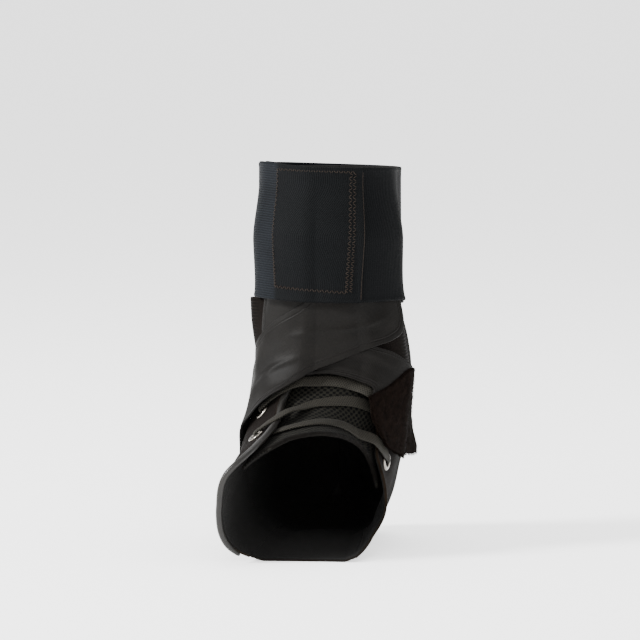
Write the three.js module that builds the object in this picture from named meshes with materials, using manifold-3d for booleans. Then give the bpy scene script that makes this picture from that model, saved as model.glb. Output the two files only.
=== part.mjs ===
import * as THREE from "three";
import { mergeVertices } from "three/addons/utils/BufferGeometryUtils.js";
import Module from "manifold-3d";

// A right-hand lace-up ankle brace, standing on its sole in the shape it has when laced up.
// +Z is up, the front edge lies toward -Y, the outer (lateral) side toward -X and the inner
// (medial) side toward +X. The origin is on the underside of the sole below the middle of the shaft.
// Every layer is a sheet laid over one inner form at its own level, so a change of a thickness
// moves all the layers above it.

// Inner form, millimetres
const bootHeight = 213;
const frontReach = 117;
const heelReach = 61;
const halfWidth = 44;

// Thicknesses
const shellWall = 1.6;
const tongueThickness = 2.2;
const laceThickness = 1.1;
const strapThickness = 1.0;
const cuffThickness = 1.3;
const patchThickness = 0.7;
const stayThickness = 1.0;
const tabThickness = 2.0;

// Clearances between layers, and where two panels meet edge to edge
const clearance = 0.3;
const laceClearance = 0.6;
const strapClearance = 0.8;
const patchClearance = 0.6;
const eyeletSeat = 0.5;
const seamGap = 0.4;

// Lace, rolled edge and eyelets
const laceWidth = 6.4;
const laceBunched = 3.1;
const rollWidth = 4.1;
const rollHeight = 2.6;
const eyeletFlange = 10.0;
const eyeletBore = 5.0;
const eyeletWall = 0.5;
const flangeThickness = 0.6;

// Back tape, how far the outer side stands off below the cuff, and the tab
const stayWidth = 22;
const stayHeelLift = 1.2;
const flareOut = 5.6;
const tabLift = 3.5;
const tabLength = 40;

// How far from an eyelet's middle the lace lies flat, bunches up and turns down into the bore
const laceFlatFrom = 6.2;
const laceBunchedAt = [4.4, 2.4];
const laceTurnIn = 0.85;
const laceCrossing = 0.35;

// Facets across and along each sheet, and round or along the other pieces
const quarterRows = 18;
const outerColumns = 15;
const innerColumns = 13;
const soleRow = 11;
const soleColumns = 8;
const stayColumns = 4;
const tongueFacets = [10, 16];
const lowerStrapFacets = [8, 22];
const upperStrapFacets = [8, 28];
const tabFacets = [8, 7];
const eyeletSides = 10;
const laceSamples = 14;

// Sections of the inner form from the top (along) to the front edge: the front point and the
// sole or back point as shares of the reaches and the height, the place of the widest line
// between them, the sideways shift and half widths as shares of the half width, and the
// roundness of the front and the back halves.
const sections = [
  { frontY: -0.350, frontZ: 1.000, backY: 0.754, backZ: 0.991, widest: 0.50, shift: 0.000,
    lateral: 0.750, medial: 0.784, roundFront: 2.15, roundBack: 2.15 },
  { frontY: -0.342, frontZ: 0.817, backY: 0.705, backZ: 0.808, widest: 0.50, shift: 0.000,
    lateral: 0.730, medial: 0.784, roundFront: 2.15, roundBack: 2.15 },
  { frontY: -0.333, frontZ: 0.667, backY: 0.672, backZ: 0.648, widest: 0.50, shift: 0.000,
    lateral: 0.740, medial: 0.784, roundFront: 2.15, roundBack: 2.15 },
  { frontY: -0.333, frontZ: 0.554, backY: 0.672, backZ: 0.498, widest: 0.50, shift: 0.000,
    lateral: 0.820, medial: 0.932, roundFront: 2.15, roundBack: 2.15 },
  { frontY: -0.350, frontZ: 0.474, backY: 0.770, backZ: 0.357, widest: 0.48, shift: 0.000,
    lateral: 0.855, medial: 0.965, roundFront: 2.25, roundBack: 2.20 },
  { frontY: -0.393, frontZ: 0.420, backY: 0.902, backZ: 0.230, widest: 0.46, shift: -0.023,
    lateral: 0.890, medial: 0.920, roundFront: 2.22, roundBack: 2.30 },
  { frontY: -0.453, frontZ: 0.385, backY: 1.000, backZ: 0.108, widest: 0.46, shift: -0.068,
    lateral: 0.885, medial: 0.905, roundFront: 2.20, roundBack: 2.40 },
  { frontY: -0.521, frontZ: 0.3615, backY: 0.770, backZ: 0.009, widest: 0.48, shift: -0.102,
    lateral: 0.900, medial: 0.818, roundFront: 2.10, roundBack: 2.60 },
  { frontY: -0.607, frontZ: 0.340, backY: 0.197, backZ: 0.000, widest: 0.50, shift: -0.114,
    lateral: 0.909, medial: 0.739, roundFront: 2.00, roundBack: 2.80 },
  { frontY: -0.744, frontZ: 0.319, backY: -0.291, backZ: 0.000, widest: 0.52, shift: -0.080,
    lateral: 0.943, medial: 0.761, roundFront: 1.95, roundBack: 3.00 },
  { frontY: -1.000, frontZ: 0.289, backY: -0.8205, backZ: 0.000, widest: 0.54, shift: -0.045,
    lateral: 1.000, medial: 0.795, roundFront: 1.90, roundBack: 3.00 },
];

// Places on the form are pairs: how far along the sections (0 top, 1 front edge), and the turn
// around them (0 front, 0.25 inner side, 0.5 back or sole, -0.25 outer side).
const outerEyeLine = [
  [0, -0.088], [0.17, -0.09], [0.44, -0.095], [0.66, -0.1], [0.893, -0.102], [1, -0.12],
];
const innerEyeLine = [
  [0, 0.125], [0.235, 0.13], [0.36, 0.135], [0.47, 0.14], [0.58, 0.15], [0.748, 0.205],
  [0.9, 0.235], [1, 0.24],
];
const outerEyelets = [0.893, 0.66, 0.37, 0.24, 0.11];
const innerEyelets = [0.748, 0.58, 0.43, 0.26, 0.16];

const rollLine = [
  [0.025, -0.05], [0.2, -0.05], [0.42, -0.051], [0.638, -0.053],
  [0.78, -0.053], [0.858, -0.06], [0.92, -0.073],
  [0.96, -0.089], [0.995, -0.113], [1.015, -0.145], [1.02, -0.2],
  [1.018, -0.27], [1.014, -0.33], [1.011, -0.37],
];
const innerThroat = [
  [0.012, 0.085], [0.235, 0.09], [0.36, 0.094], [0.47, 0.1], [0.58, 0.112], [0.748, 0.163],
  [0.82, 0.188], [0.868, 0.212],
];
const soleEnd = 0.998;
const innerFront = [[0.868, 0.212], [0.888, 0.25], [0.928, 0.3], [0.968, 0.36], [soleEnd, 0.4]];
const tongueOuter = [[0.022, -0.095], [0.25, -0.095], [0.5, -0.098], [0.75, -0.1], [0.972, -0.108]];
const tongueInner = [
  [0.022, 0.125], [0.25, 0.128], [0.5, 0.14], [0.58, 0.15], [0.75, 0.2], [0.858, 0.244],
];
const tongueFront = [
  [0.972, -0.108], [0.963, -0.07], [0.938, -0.035], [0.92, 0.008], [0.888, 0.058], [0.848, 0.1],
  [0.815, 0.135], [0.812, 0.18], [0.858, 0.244],
];

// Straps as pairs of edges, from the low end to the end under the cuff
const upperStrapLow = [
  [0.79, -0.37], [0.77, -0.30], [0.745, -0.22], [0.71, -0.135],
  [0.665, -0.098], [0.56, -0.042], [0.45, -0.015],
  [0.393, 0.025], [0.343, 0.075], [0.315, 0.122], [0.285, 0.151], [0.22, 0.16], [0.165, 0.158], [0.12, 0.155],
];
const upperStrapHigh = [
  [0.66, -0.375], [0.60, -0.32], [0.49, -0.27], [0.365, -0.20],
  [0.288, -0.112], [0.26, -0.08], [0.228, -0.037],
  [0.20, -0.01], [0.18, 0.008], [0.16, 0.018], [0.145, 0.024], [0.135, 0.028], [0.127, 0.03], [0.12, 0.03],
];
const lowerStrapLow = [
  [0.573, 0.087], [0.505, 0.09], [0.478, 0.06], [0.46, 0.018],
  [0.462, -0.005], [0.475, -0.022], [0.47, -0.06],
  [0.41, -0.1], [0.33, -0.12], [0.25, -0.14], [0.18, -0.14], [0.12, -0.135],
];
const lowerStrapHigh = [
  [0.388, 0.2], [0.366, 0.155], [0.348, 0.125], [0.336, 0.095], [0.32, 0.075], [0.295, 0.055], [0.26, 0.03],
  [0.22, 0.01], [0.185, 0.0], [0.16, -0.008], [0.138, -0.012], [0.12, -0.014],
];
const crossingEdge = [[0.12, -0.145], [0.28, -0.14], [0.42, -0.105], [0.48, -0.065], [0.6, -0.055]];
const seamBow = 0.055;
const tabLow = [[0.573, 0.087], [0.657, 0.107], [0.71, 0.133], [0.735, 0.155], [0.745, 0.168]];
const tabHigh = [[0.388, 0.2], [0.43, 0.232], [0.48, 0.256], [0.53, 0.27], [0.585, 0.274]];

// Cuff: a band that starts under itself on the outer side and ends over the front
const cuffStart = -0.175;
const cuffEnd = 1.075;
const patchStart = -0.15;
const patchEnd = 0.05;
const cuffTop = 0.009;
const cuffBottom = 0.222;

// The lace's bars from eyelet to eyelet; over tells whether each end lies over the boot's margin
const laceBars = [
  {
    over: [true, false],
    route: [
      [0.748, 0.205], [0.75, 0.172], [0.76, 0.14], [0.772, 0.11], [0.785, 0.08], [0.823, 0.04],
      [0.868, -0.005], [0.888, -0.045], [0.893, -0.102],
    ],
  },
  {
    over: [true, false],
    route: [
      [0.893, -0.102], [0.853, -0.062], [0.79, -0.033], [0.675, -0.003], [0.635, 0.023],
      [0.598, 0.055], [0.583, 0.09], [0.58, 0.15],
    ],
  },
  {
    over: [true, true],
    route: [
      [0.58, 0.15], [0.555, 0.115], [0.525, 0.09], [0.495, 0.065], [0.482, 0.035], [0.482, 0],
      [0.507, -0.03], [0.552, -0.055], [0.595, -0.077], [0.66, -0.1],
    ],
  },
  {
    over: [false, true],
    route: [
      [0.66, -0.1], [0.575, -0.1], [0.47, -0.08], [0.41, -0.03], [0.395, 0.02], [0.402, 0.075],
      [0.43, 0.138],
    ],
  },
  {
    over: [false, true],
    route: [
      [0.43, 0.138], [0.37, 0.10], [0.337, 0.06], [0.325, 0.015], [0.32, -0.03], [0.335, -0.065],
      [0.37, -0.094],
    ],
  },
  {
    over: [false, true],
    route: [
      [0.37, -0.094], [0.30, -0.08], [0.26, -0.03], [0.25, 0.02], [0.245, 0.075], [0.26, 0.131],
    ],
  },
  {
    over: [false, true],
    route: [
      [0.26, 0.131], [0.225, 0.09], [0.20, 0.04], [0.19, 0], [0.2, -0.05], [0.24, -0.091],
    ],
  },
  {
    over: [false, true],
    route: [
      [0.24, -0.091], [0.17, -0.07], [0.135, -0.02], [0.13, 0.03], [0.14, 0.08], [0.16, 0.128],
    ],
  },
  {
    over: [false, true],
    route: [
      [0.16, 0.128], [0.11, 0.09], [0.08, 0.04], [0.072, 0], [0.08, -0.05], [0.11, -0.089],
    ],
  },
];

const raise = tongueThickness + laceThickness + 2 * laceClearance;

const clamp = (v, a, b) => Math.min(Math.max(v, a), b);

function step(a, b, v) {
  const x = clamp((v - a) / (b - a), 0, 1);
  return x * x * (3 - 2 * x);
}

const mix = (a, b, w) => a + (b - a) * w;

const wrapTurn = (t) => t - Math.floor(t + 0.5);

// Straight interpolation of a table of [at, value] pairs
function lookUp(table, at) {
  if (at <= table[0][0]) return table[0][1];
  for (let k = 1; k < table.length; k += 1) {
    if (at <= table[k][0]) {
      const w = (at - table[k - 1][0]) / (table[k][0] - table[k - 1][0]);
      return mix(table[k - 1][1], table[k][1], w);
    }
  }
  return table[table.length - 1][1];
}

function spline(a, b, c, d, f) {
  const square = 2 * a - 5 * b + 4 * c - d;
  const cube = 3 * b - a - 3 * c + d;
  return 0.5 * (2 * b + (c - a) * f + square * f * f + cube * f * f * f);
}

// A smooth line through a list of places, 0 at its first and 1 at its last
function lineAt(list, u) {
  const last = list.length - 1;
  const i = clamp(Math.floor(u * last), 0, last - 1);
  const f = u * last - i;
  return [0, 1].map((k) => {
    const b = list[i][k];
    const c = list[i + 1][k];
    const a = i > 0 ? list[i - 1][k] : 2 * b - c;
    const d = i + 2 <= last ? list[i + 2][k] : 2 * c - b;
    return spline(a, b, c, d, f);
  });
}

function sectionAt(along) {
  const last = sections.length - 1;
  const i = clamp(Math.floor(along * last), 0, last - 1);
  const f = along * last - i;
  const found = {};
  for (const key of Object.keys(sections[0])) {
    const b = sections[i][key];
    const c = sections[i + 1][key];
    const a = i > 0 ? sections[i - 1][key] : 2 * b - c;
    const d = i + 2 <= last ? sections[i + 2][key] : 2 * c - b;
    found[key] = spline(a, b, c, d, f);
  }
  return found;
}

const reach = (share) => (share < 0 ? share * frontReach : share * heelReach);

// A point of the inner form
function formPoint(along, turn) {
  const at = sectionAt(along);
  const angle = 2 * Math.PI * turn;
  const c = Math.cos(angle);
  const n = Math.sin(angle);
  const round = c > 0 ? at.roundFront : at.roundBack;
  const half = (n > 0 ? at.medial : at.lateral) * halfWidth;
  const x = at.shift * halfWidth + half * Math.sign(n) * Math.abs(n) ** (2 / round);
  const depth = Math.abs(c) ** (2 / round);
  const front = [reach(at.frontY), at.frontZ * bootHeight];
  const back = [reach(at.backY), at.backZ * bootHeight];
  const middle = [0, 1].map((k) => mix(front[k], back[k], at.widest));
  const end = c > 0 ? front : back;
  return new THREE.Vector3(x, mix(middle[0], end[0], depth), mix(middle[1], end[1], depth));
}

function formNormal(along, turn) {
  const e = 1e-3;
  const ds = formPoint(along + e, turn).sub(formPoint(along - e, turn));
  const dt = formPoint(along, turn + e).sub(formPoint(along, turn - e));
  return ds.cross(dt).normalize();
}

// The point at a height over the form; the sole is flattened so that the boot's underside is level
function place(along, turn, height) {
  const point = formPoint(along, turn).addScaledVector(formNormal(along, turn), height);
  point.z = Math.max(point.z, shellWall - height);
  return point;
}

// The place on the form that lies a short vector away from another
function shifted(along, turn, vector) {
  const e = 1e-3;
  const ds = formPoint(along + e, turn).sub(formPoint(along - e, turn)).multiplyScalar(0.5 / e);
  const dt = formPoint(along, turn + e).sub(formPoint(along, turn - e)).multiplyScalar(0.5 / e);
  const aa = ds.dot(ds);
  const ab = ds.dot(dt);
  const bb = dt.dot(dt);
  const va = vector.dot(ds);
  const vb = vector.dot(dt);
  const det = aa * bb - ab * ab;
  return [along + (va * bb - vb * ab) / det, turn + (vb * aa - va * ab) / det];
}

// Levels of the layers over the form
function raised(along, turn) {
  const t = wrapTurn(turn);
  const outer = 1 - step(0.028, 0.115, lookUp(outerEyeLine, along) - t);
  const inner = 1 - step(0.024, 0.1, t - lookUp(innerEyeLine, along));
  return outer * inner;
}

function laced(along, turn) {
  const t = wrapTurn(turn);
  const outer = 1 - step(0.026, 0.085, lookUp(outerEyeLine, along) - t);
  const inner = 1 - step(0.022, 0.08, t - lookUp(innerEyeLine, along));
  return outer * inner * (1 - step(0.84, 0.95, along));
}

function overTongue(along, turn) {
  const t = wrapTurn(turn);
  const outer = step(0.06, 0.115, t - lookUp(outerEyeLine, along));
  return outer * step(0.05, 0.105, lookUp(innerEyeLine, along) - t);
}

function flare(along, turn) {
  const t = wrapTurn(turn);
  const down = step(0.235, 0.3, along) * (1 - step(0.3, 0.4, along));
  return flareOut * down * step(0.19, 0.24, -t) * (1 - step(0.3, 0.4, -t));
}

const laceHeight = eyeletSeat + flangeThickness + clearance + laceThickness;
const shellInner = (s, t) => raise * raised(s, t) + flare(s, t);
const shellOuter = (s, t) => shellInner(s, t) + shellWall;

function lowerStrapInner(s, t) {
  const side = shellOuter(s, t) + strapClearance + laced(s, t) * laceHeight;
  const low = raise + strapClearance;
  return mix(side, low, overTongue(s, t));
}

// Away from the crossing the upper strap lies on the boot itself
function upperStrapInner(s, t) {
  const crossing = 1 - step(0.01, 0.07, lookUp(crossingEdge, s) - wrapTurn(t));
  return lowerStrapInner(s, t) + mix(clearance, strapThickness + strapClearance, crossing);
}

function cuffInner(s, t) {
  const w = step(0.02, 0.115, s);
  const overStay = (stayThickness + clearance) * (1 - step(0.07, 0.13, Math.abs(wrapTurn(t + 0.5))));
  const fromRoll = Math.abs(wrapTurn(t - rollLine[0][1]));
  const overRoll = (rollHeight - shellWall) * (1 - step(0.02, 0.06, fromRoll));
  const top = shellOuter(s, t) + strapClearance + overStay + overRoll;
  const straps = 1 - step(0.165, 0.24, Math.abs(wrapTurn(t)));
  const sides = Math.max(overStay, clearance);
  const low = lowerStrapInner(s, t) + mix(sides, 2 * (strapThickness + strapClearance), straps);
  return mix(top, low, w);
}

// Material helper
function finish(color, roughness, metalness = 0) {
  return new THREE.MeshStandardMaterial({ color, roughness, metalness });
}

const shellFinish = finish(0x2a2523, 0.9);
const tongueFinish = finish(0x1c1c18, 0.95);
const strapFinish = finish(0x36352f, 0.7);
const laceFinish = finish(0x3a3a34, 0.8);
const cuffFinish = finish(0x24282d, 0.85);
const tabFinish = finish(0x1d1814, 1.0);
const eyeletFinish = finish(0xb9b4ac, 0.3, 1.0);
const patchFinish = finish(0x1a1a1a, 0.95);

// Moves each vertex of a closed geometry and keeps its faces pointing out
function bend(source, move) {
  source.deleteAttribute("normal");
  source.deleteAttribute("uv");
  const geometry = mergeVertices(source);
  const position = geometry.getAttribute("position");
  const index = geometry.getIndex();
  const point = new THREE.Vector3();
  for (let k = 0; k < position.count; k += 1) {
    point.fromBufferAttribute(position, k);
    const moved = move(point);
    position.setXYZ(k, moved.x, moved.y, moved.z);
  }
  let volume = 0;
  const a = new THREE.Vector3();
  const b = new THREE.Vector3();
  const c = new THREE.Vector3();
  for (let k = 0; k < index.count; k += 3) {
    a.fromBufferAttribute(position, index.getX(k));
    b.fromBufferAttribute(position, index.getX(k + 1));
    c.fromBufferAttribute(position, index.getX(k + 2));
    volume += a.dot(b.cross(c));
  }
  if (volume < 0) {
    for (let k = 0; k < index.count; k += 3) {
      const first = index.getX(k);
      index.setX(k, index.getX(k + 1));
      index.setX(k + 1, first);
    }
  }
  geometry.computeVertexNormals();
  return geometry;
}

// A sheet over the form: where(u, v) gives its places and the two level functions its faces
function sheet(across, along, where, inner, outer) {
  const box = new THREE.BoxGeometry(1, 1, 1, across, along, 1);
  return bend(box, (p) => {
    const [s, t] = where(p.x + 0.5, p.y + 0.5);
    return place(s, t, p.z < 0 ? inner(s, t) : outer(s, t));
  });
}

// Places between four border lines
function patchWhere(top, bottom, left, right) {
  return (u, v) => {
    const edges = [top(u), bottom(u), left(v), right(v)];
    const corners = [top(0), top(1), bottom(0), bottom(1)];
    return [0, 1].map((k) => {
      const ruled = (1 - v) * edges[0][k] + v * edges[1][k] + (1 - u) * edges[2][k] + u * edges[3][k];
      const start = (1 - u) * corners[0][k] + u * corners[1][k];
      const end = (1 - u) * corners[2][k] + u * corners[3][k];
      const twice = (1 - v) * start + v * end;
      return ruled - twice;
    });
  };
}

// Places between two edges; bow draws the first end up between them
const strip = (low, high, bow = 0) => (u, v) => {
  const a = lineAt(low, v);
  const b = lineAt(high, v);
  return [mix(a[0], b[0], u) - bow * 4 * u * (1 - u) * (1 - v) ** 3, mix(a[1], b[1], u)];
};

// The boot's sole seam and back seam
const girth = 240;
const soleHalf = (s) => 0.1 * step(0.58, 0.76, s);
const seamTurn = (s) => 0.5 - Math.max(soleHalf(s), seamGap / 2 / girth);
const bootTop = 0.012;

// Edge of the outer quarter, beside the rolled edge
const rollOffset = rollWidth / 2 + clearance;
const quarterEdge = rollLine.map(([s, t], k) => {
  const before = rollLine[Math.max(k - 1, 0)];
  const after = rollLine[Math.min(k + 1, rollLine.length - 1)];
  const tangent = formPoint(after[0], after[1]).sub(formPoint(before[0], before[1])).normalize();
  const side = tangent.cross(formNormal(s, t)).normalize().multiplyScalar(rollOffset);
  const one = shifted(s, t, side);
  const other = shifted(s, t, side.negate());
  return k < 7 ? (one[1] < other[1] ? one : other) : (one[0] < other[0] ? one : other);
});
const cornerAt = 7;
const outerThroat = quarterEdge.slice(0, cornerAt + 1);
outerThroat[0] = [bootTop, outerThroat[0][1]];
const outerFront = quarterEdge.slice(cornerAt);
outerFront[outerFront.length - 1] = [soleEnd, -0.4];

function backLine(sign) {
  return (v) => {
    const s = mix(bootTop, soleEnd, v);
    return [s, sign * seamTurn(s)];
  };
}

const straightTop = (from, to) => (u) => [bootTop, mix(from, to, u)];

const outerWhere = patchWhere(
  straightTop(-seamTurn(bootTop), outerThroat[0][1]),
  (u) => lineAt([...outerFront].reverse(), u),
  backLine(-1),
  (v) => lineAt(outerThroat, v),
);
const innerWhere = patchWhere(
  straightTop(seamTurn(bootTop), innerThroat[0][1]),
  (u) => lineAt([...innerFront].reverse(), u),
  backLine(1),
  (v) => lineAt(innerThroat, v),
);

const wasm = await Module();
wasm.setup();

function toSolid(geometry) {
  return new wasm.Manifold(new wasm.Mesh({
    numProp: 3,
    vertProperties: new Float32Array(geometry.getAttribute("position").array),
    triVerts: new Uint32Array(geometry.getIndex().array),
  }));
}

function fromSolid(solid) {
  const mesh = solid.getMesh();
  const geometry = new THREE.BufferGeometry();
  geometry.setAttribute("position", new THREE.BufferAttribute(new Float32Array(mesh.vertProperties), 3));
  geometry.setIndex(new THREE.BufferAttribute(new Uint32Array(mesh.triVerts), 1));
  geometry.computeVertexNormals();
  return geometry;
}

// Each eyelet's seat: its middle on the quarter's outer face and the way out of that face
function eyeletSeats(rows, line) {
  return rows.map((s) => {
    const t = lookUp(line, s);
    const normal = place(s, t, shellOuter(s, t)).sub(place(s, t, shellInner(s, t))).normalize();
    return { s, t, normal, point: place(s, t, shellOuter(s, t)) };
  });
}

const outerSeats = eyeletSeats(outerEyelets, outerEyeLine);
const innerSeats = eyeletSeats(innerEyelets, innerEyeLine);
const holeRadius = eyeletBore / 2 + eyeletWall + clearance;

function pierced(geometry, seats) {
  let solid = toSolid(geometry);
  for (const seat of seats) {
    const punch = new THREE.CylinderGeometry(holeRadius, holeRadius, 4 * shellWall, 10, 1);
    const turn = new THREE.Quaternion().setFromUnitVectors(new THREE.Vector3(0, 1, 0), seat.normal);
    const middle = seat.point.clone().addScaledVector(seat.normal, -shellWall / 2);
    const cut = bend(punch, (p) => p.clone().applyQuaternion(turn).add(middle));
    solid = solid.subtract(toSolid(cut));
  }
  return fromSolid(solid);
}

const group = new THREE.Group();

function add(name, geometry, material) {
  const mesh = new THREE.Mesh(geometry, material);
  mesh.name = name;
  group.add(mesh);
  return mesh;
}

// Boot: two quarters, the sole panel, the tape over the back seam and the tongue
const outerSheet = sheet(outerColumns, quarterRows, outerWhere, shellInner, shellOuter);
add("lateral_quarter", pierced(outerSheet, outerSeats), shellFinish);
const innerSheet = sheet(innerColumns, quarterRows, innerWhere, shellInner, shellOuter);
add("medial_quarter", pierced(innerSheet, innerSeats), shellFinish);

// The sole panel and the tape keep to the quarters' rows, so their seams run side by side
const soleWhere = (u, v) => {
  const sole = mix(bootTop, soleEnd, mix(soleRow / quarterRows, 1, v));
  const half = soleHalf(sole) - seamGap / girth;
  return [sole, 0.5 + (2 * u - 1) * half];
};
const soleSheet = sheet(soleColumns, quarterRows - soleRow, soleWhere, () => 0, () => shellWall);
add("sole_panel", soleSheet, shellFinish);

const stayHalf = stayWidth / 2 / girth;
const stayInner = (s, t) => shellOuter(s, t) + clearance + stayHeelLift * step(0.5, 0.6, s);
const stayOuter = (s, t) => stayInner(s, t) + stayThickness;
const stayRows = soleRow + 1;
const stayWhere = (u, v) => [
  mix(bootTop, soleEnd, (stayRows * v) / quarterRows),
  0.5 + (2 * u - 1) * stayHalf,
];
add("back_tape", sheet(stayColumns, stayRows, stayWhere, stayInner, stayOuter), strapFinish);

const tongueWhere = patchWhere(
  (u) => [tongueOuter[0][0], mix(tongueOuter[0][1], tongueInner[0][1], u)],
  (u) => lineAt(tongueFront, u),
  (v) => lineAt(tongueOuter, v),
  (v) => lineAt(tongueInner, v),
);
add("tongue", sheet(...tongueFacets, tongueWhere, () => 0, () => tongueThickness), tongueFinish);

// Rolled edge of the outer quarter
const rollSteps = 34;
const rollSource = new THREE.CylinderGeometry(0.5, 0.5, 1, 6, rollSteps);
add("rolled_edge", bend(rollSource, (p) => {
  const v = p.y + 0.5;
  const [s, t] = lineAt(rollLine, v);
  const near = lineAt(rollLine, clamp(v + 0.01, 0, 1));
  const far = lineAt(rollLine, clamp(v - 0.01, 0, 1));
  const level = shellInner(s, t) + rollHeight / 2;
  const tangent = place(near[0], near[1], level).sub(place(far[0], far[1], level)).normalize();
  const up = formNormal(s, t);
  const side = tangent.clone().cross(up).normalize();
  const middle = place(s, t, level);
  middle.z = Math.max(middle.z, rollHeight / 2);
  const over = side.clone().cross(tangent);
  return middle.addScaledVector(side, p.x * rollWidth).addScaledVector(over, p.z * rollHeight);
}), strapFinish);

// Eyelets
const bore = eyeletBore / 2;
const rim = eyeletFlange / 2;
const eyeletTop = eyeletSeat + flangeThickness;
const eyeletProfile = [
  [bore, -shellWall],
  [bore + eyeletWall, -shellWall],
  [bore + eyeletWall, eyeletSeat],
  [rim, eyeletSeat],
  [rim - flangeThickness, eyeletTop],
  [bore, eyeletTop],
  [bore, -shellWall],
].map(([x, y]) => new THREE.Vector2(x, y));

function addEyelets(side, seats) {
  seats.forEach((seat, k) => {
    const ring = new THREE.LatheGeometry(eyeletProfile, eyeletSides);
    const mesh = add(`${side}_eyelet_${k + 1}`, bend(ring, (p) => p.clone()), eyeletFinish);
    mesh.position.copy(seat.point);
    mesh.quaternion.setFromUnitVectors(new THREE.Vector3(0, 1, 0), seat.normal);
  });
}

addEyelets("lateral", outerSeats);
addEyelets("medial", innerSeats);

// The lace is one flat cord that zigzags from eyelet to eyelet
const lowLevel = tongueThickness + laceClearance + laceThickness / 2;
const highLevel = (s, t) => shellOuter(s, t) + laceHeight - laceThickness / 2;

function laceLevel(s, t, over, fromInner) {
  const edge = fromInner ? lookUp(innerThroat, s) - t : t - lookUp(rollLine.slice(0, 9), s);
  const w = 1 - step(0.014, 0.05, edge);
  return over ? mix(lowLevel, highLevel(s, t), w) : lowLevel;
}

function laceRoute() {
  const frames = [];
  let sign = 1;
  laceBars.forEach(({ over, route }, bar) => {
    const startInner = route[0][1] > 0;
    const path = [];
    for (let k = 0; k <= laceSamples; k += 1) {
      const u = k / laceSamples;
      const [s, t] = lineAt(route, u);
      const nearStart = startInner ? t > 0.02 : t < 0.02;
      const level = laceLevel(s, t, nearStart ? over[0] : over[1], t > 0.02);
      path.push({ s, t, level, point: place(s, t, level), up: formNormal(s, t) });
    }
    const ends = [path[0], path[laceSamples]].map((end) => {
      const seats = end.t > 0 ? innerSeats : outerSeats;
      const far = (seat) => Math.abs(seat.s - end.s);
      return seats.reduce((best, seat) => (far(seat) < far(best) ? seat : best));
    });
    const clear = (p) => ends.every((seat) => p.point.distanceTo(seat.point) > laceFlatFrom);
    const kept = path.filter(clear);
    const toward = (seat, p) => {
      const way = p.point.clone().sub(seat.point);
      return way.addScaledVector(seat.normal, -way.dot(seat.normal)).normalize();
    };
    const topZ = laceHeight - laceThickness / 2;
    const bottomZ = -shellWall - laceClearance - laceThickness / 2;
    const middleZ = (topZ + bottomZ) / 2;
    const radius = (topZ - bottomZ) / 2;
    const turnPoint = (seat, way, angle) => {
      const out = laceTurnIn - radius * 0.62 * Math.cos(angle);
      const height = middleZ + radius * Math.sin(angle);
      return seat.point.clone().addScaledVector(way, out).addScaledVector(seat.normal, height);
    };
    const half = (seat, way, isOver, leaving) => {
      const list = [];
      const z = isOver ? 1 : -1;
      const lay = (distance) => {
        const [s, t] = shifted(seat.s, seat.t, way.clone().multiplyScalar(distance));
        return place(s, t, shellOuter(s, t) + (isOver ? topZ : bottomZ));
      };
      list.push({ point: lay(laceBunchedAt[0]), narrow: 0.45 });
      list.push({ point: lay(laceBunchedAt[1]), narrow: 0.1 });
      list.push({ point: turnPoint(seat, way, (z * Math.PI) / 3.2), narrow: 0 });
      if (leaving) list.reverse();
      const across = way.clone().cross(seat.normal).normalize();
      return list.map((entry) => ({ ...entry, across: across.clone().multiplyScalar(leaving ? 1 : -1) }));
    };
    const startWay = toward(ends[0], kept[0]);
    const endWay = toward(ends[1], kept[kept.length - 1]);
    const list = [];
    list.push(...half(ends[0], startWay, over[0], true));
    kept.forEach((p, k) => {
      const before = kept[Math.max(k - 1, 0)].point;
      const after = kept[Math.min(k + 1, kept.length - 1)].point;
      const tangent = after.clone().sub(before).normalize();
      const span = Math.min(...ends.map((seat) => p.point.distanceTo(seat.point)));
      const narrow = clamp(step(2, 12, span) + 0.1, 0, 1);
      list.push({ point: p.point, narrow, across: tangent.cross(p.up).normalize() });
    });
    list.push(...half(ends[1], endWay, over[1], false));
    list.forEach((entry) => frames.push({ ...entry, across: entry.across.clone().multiplyScalar(sign) }));
    // half way through the bore the next bar turns the other face out
    const next = laceBars[bar + 1];
    if (next) {
      const seat = ends[1];
      const across = frames[frames.length - 1].across.clone();
      const point = seat.point.clone().addScaledVector(seat.normal, middleZ);
      frames.push({ point: point.addScaledVector(endWay, -laceCrossing), narrow: 0, across });
    }
    sign = -sign;
  });
  return frames;
}

const laceFrames = laceRoute();
const laceSource = new THREE.BoxGeometry(1, 1, 1, 1, laceFrames.length - 1, 1);
add("lace", bend(laceSource, (p) => {
  const k = Math.round((p.y + 0.5) * (laceFrames.length - 1));
  const frame = laceFrames[k];
  const before = laceFrames[Math.max(k - 1, 0)].point;
  const after = laceFrames[Math.min(k + 1, laceFrames.length - 1)].point;
  const tangent = after.clone().sub(before).normalize();
  const across = frame.across.clone().addScaledVector(tangent, -frame.across.dot(tangent)).normalize();
  const up = across.clone().cross(tangent).normalize();
  const width = mix(laceBunched, laceWidth, frame.narrow);
  return frame.point.clone().addScaledVector(across, p.x * width).addScaledVector(up, p.z * laceThickness);
}), laceFinish);

// Straps: the lower one runs up from its tab on the inner side, the upper one crosses over it
const lowerWhere = strip(lowerStrapLow, lowerStrapHigh, seamBow);
const lowerStrapOuter = (s, t) => lowerStrapInner(s, t) + strapThickness;
add("lower_strap", sheet(...lowerStrapFacets, lowerWhere, lowerStrapInner, lowerStrapOuter), strapFinish);

const upperWhere = strip(upperStrapLow, upperStrapHigh);
const upperStrapOuter = (s, t) => upperStrapInner(s, t) + strapThickness;
add("upper_strap", sheet(...upperStrapFacets, upperWhere, upperStrapInner, upperStrapOuter), strapFinish);

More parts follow.
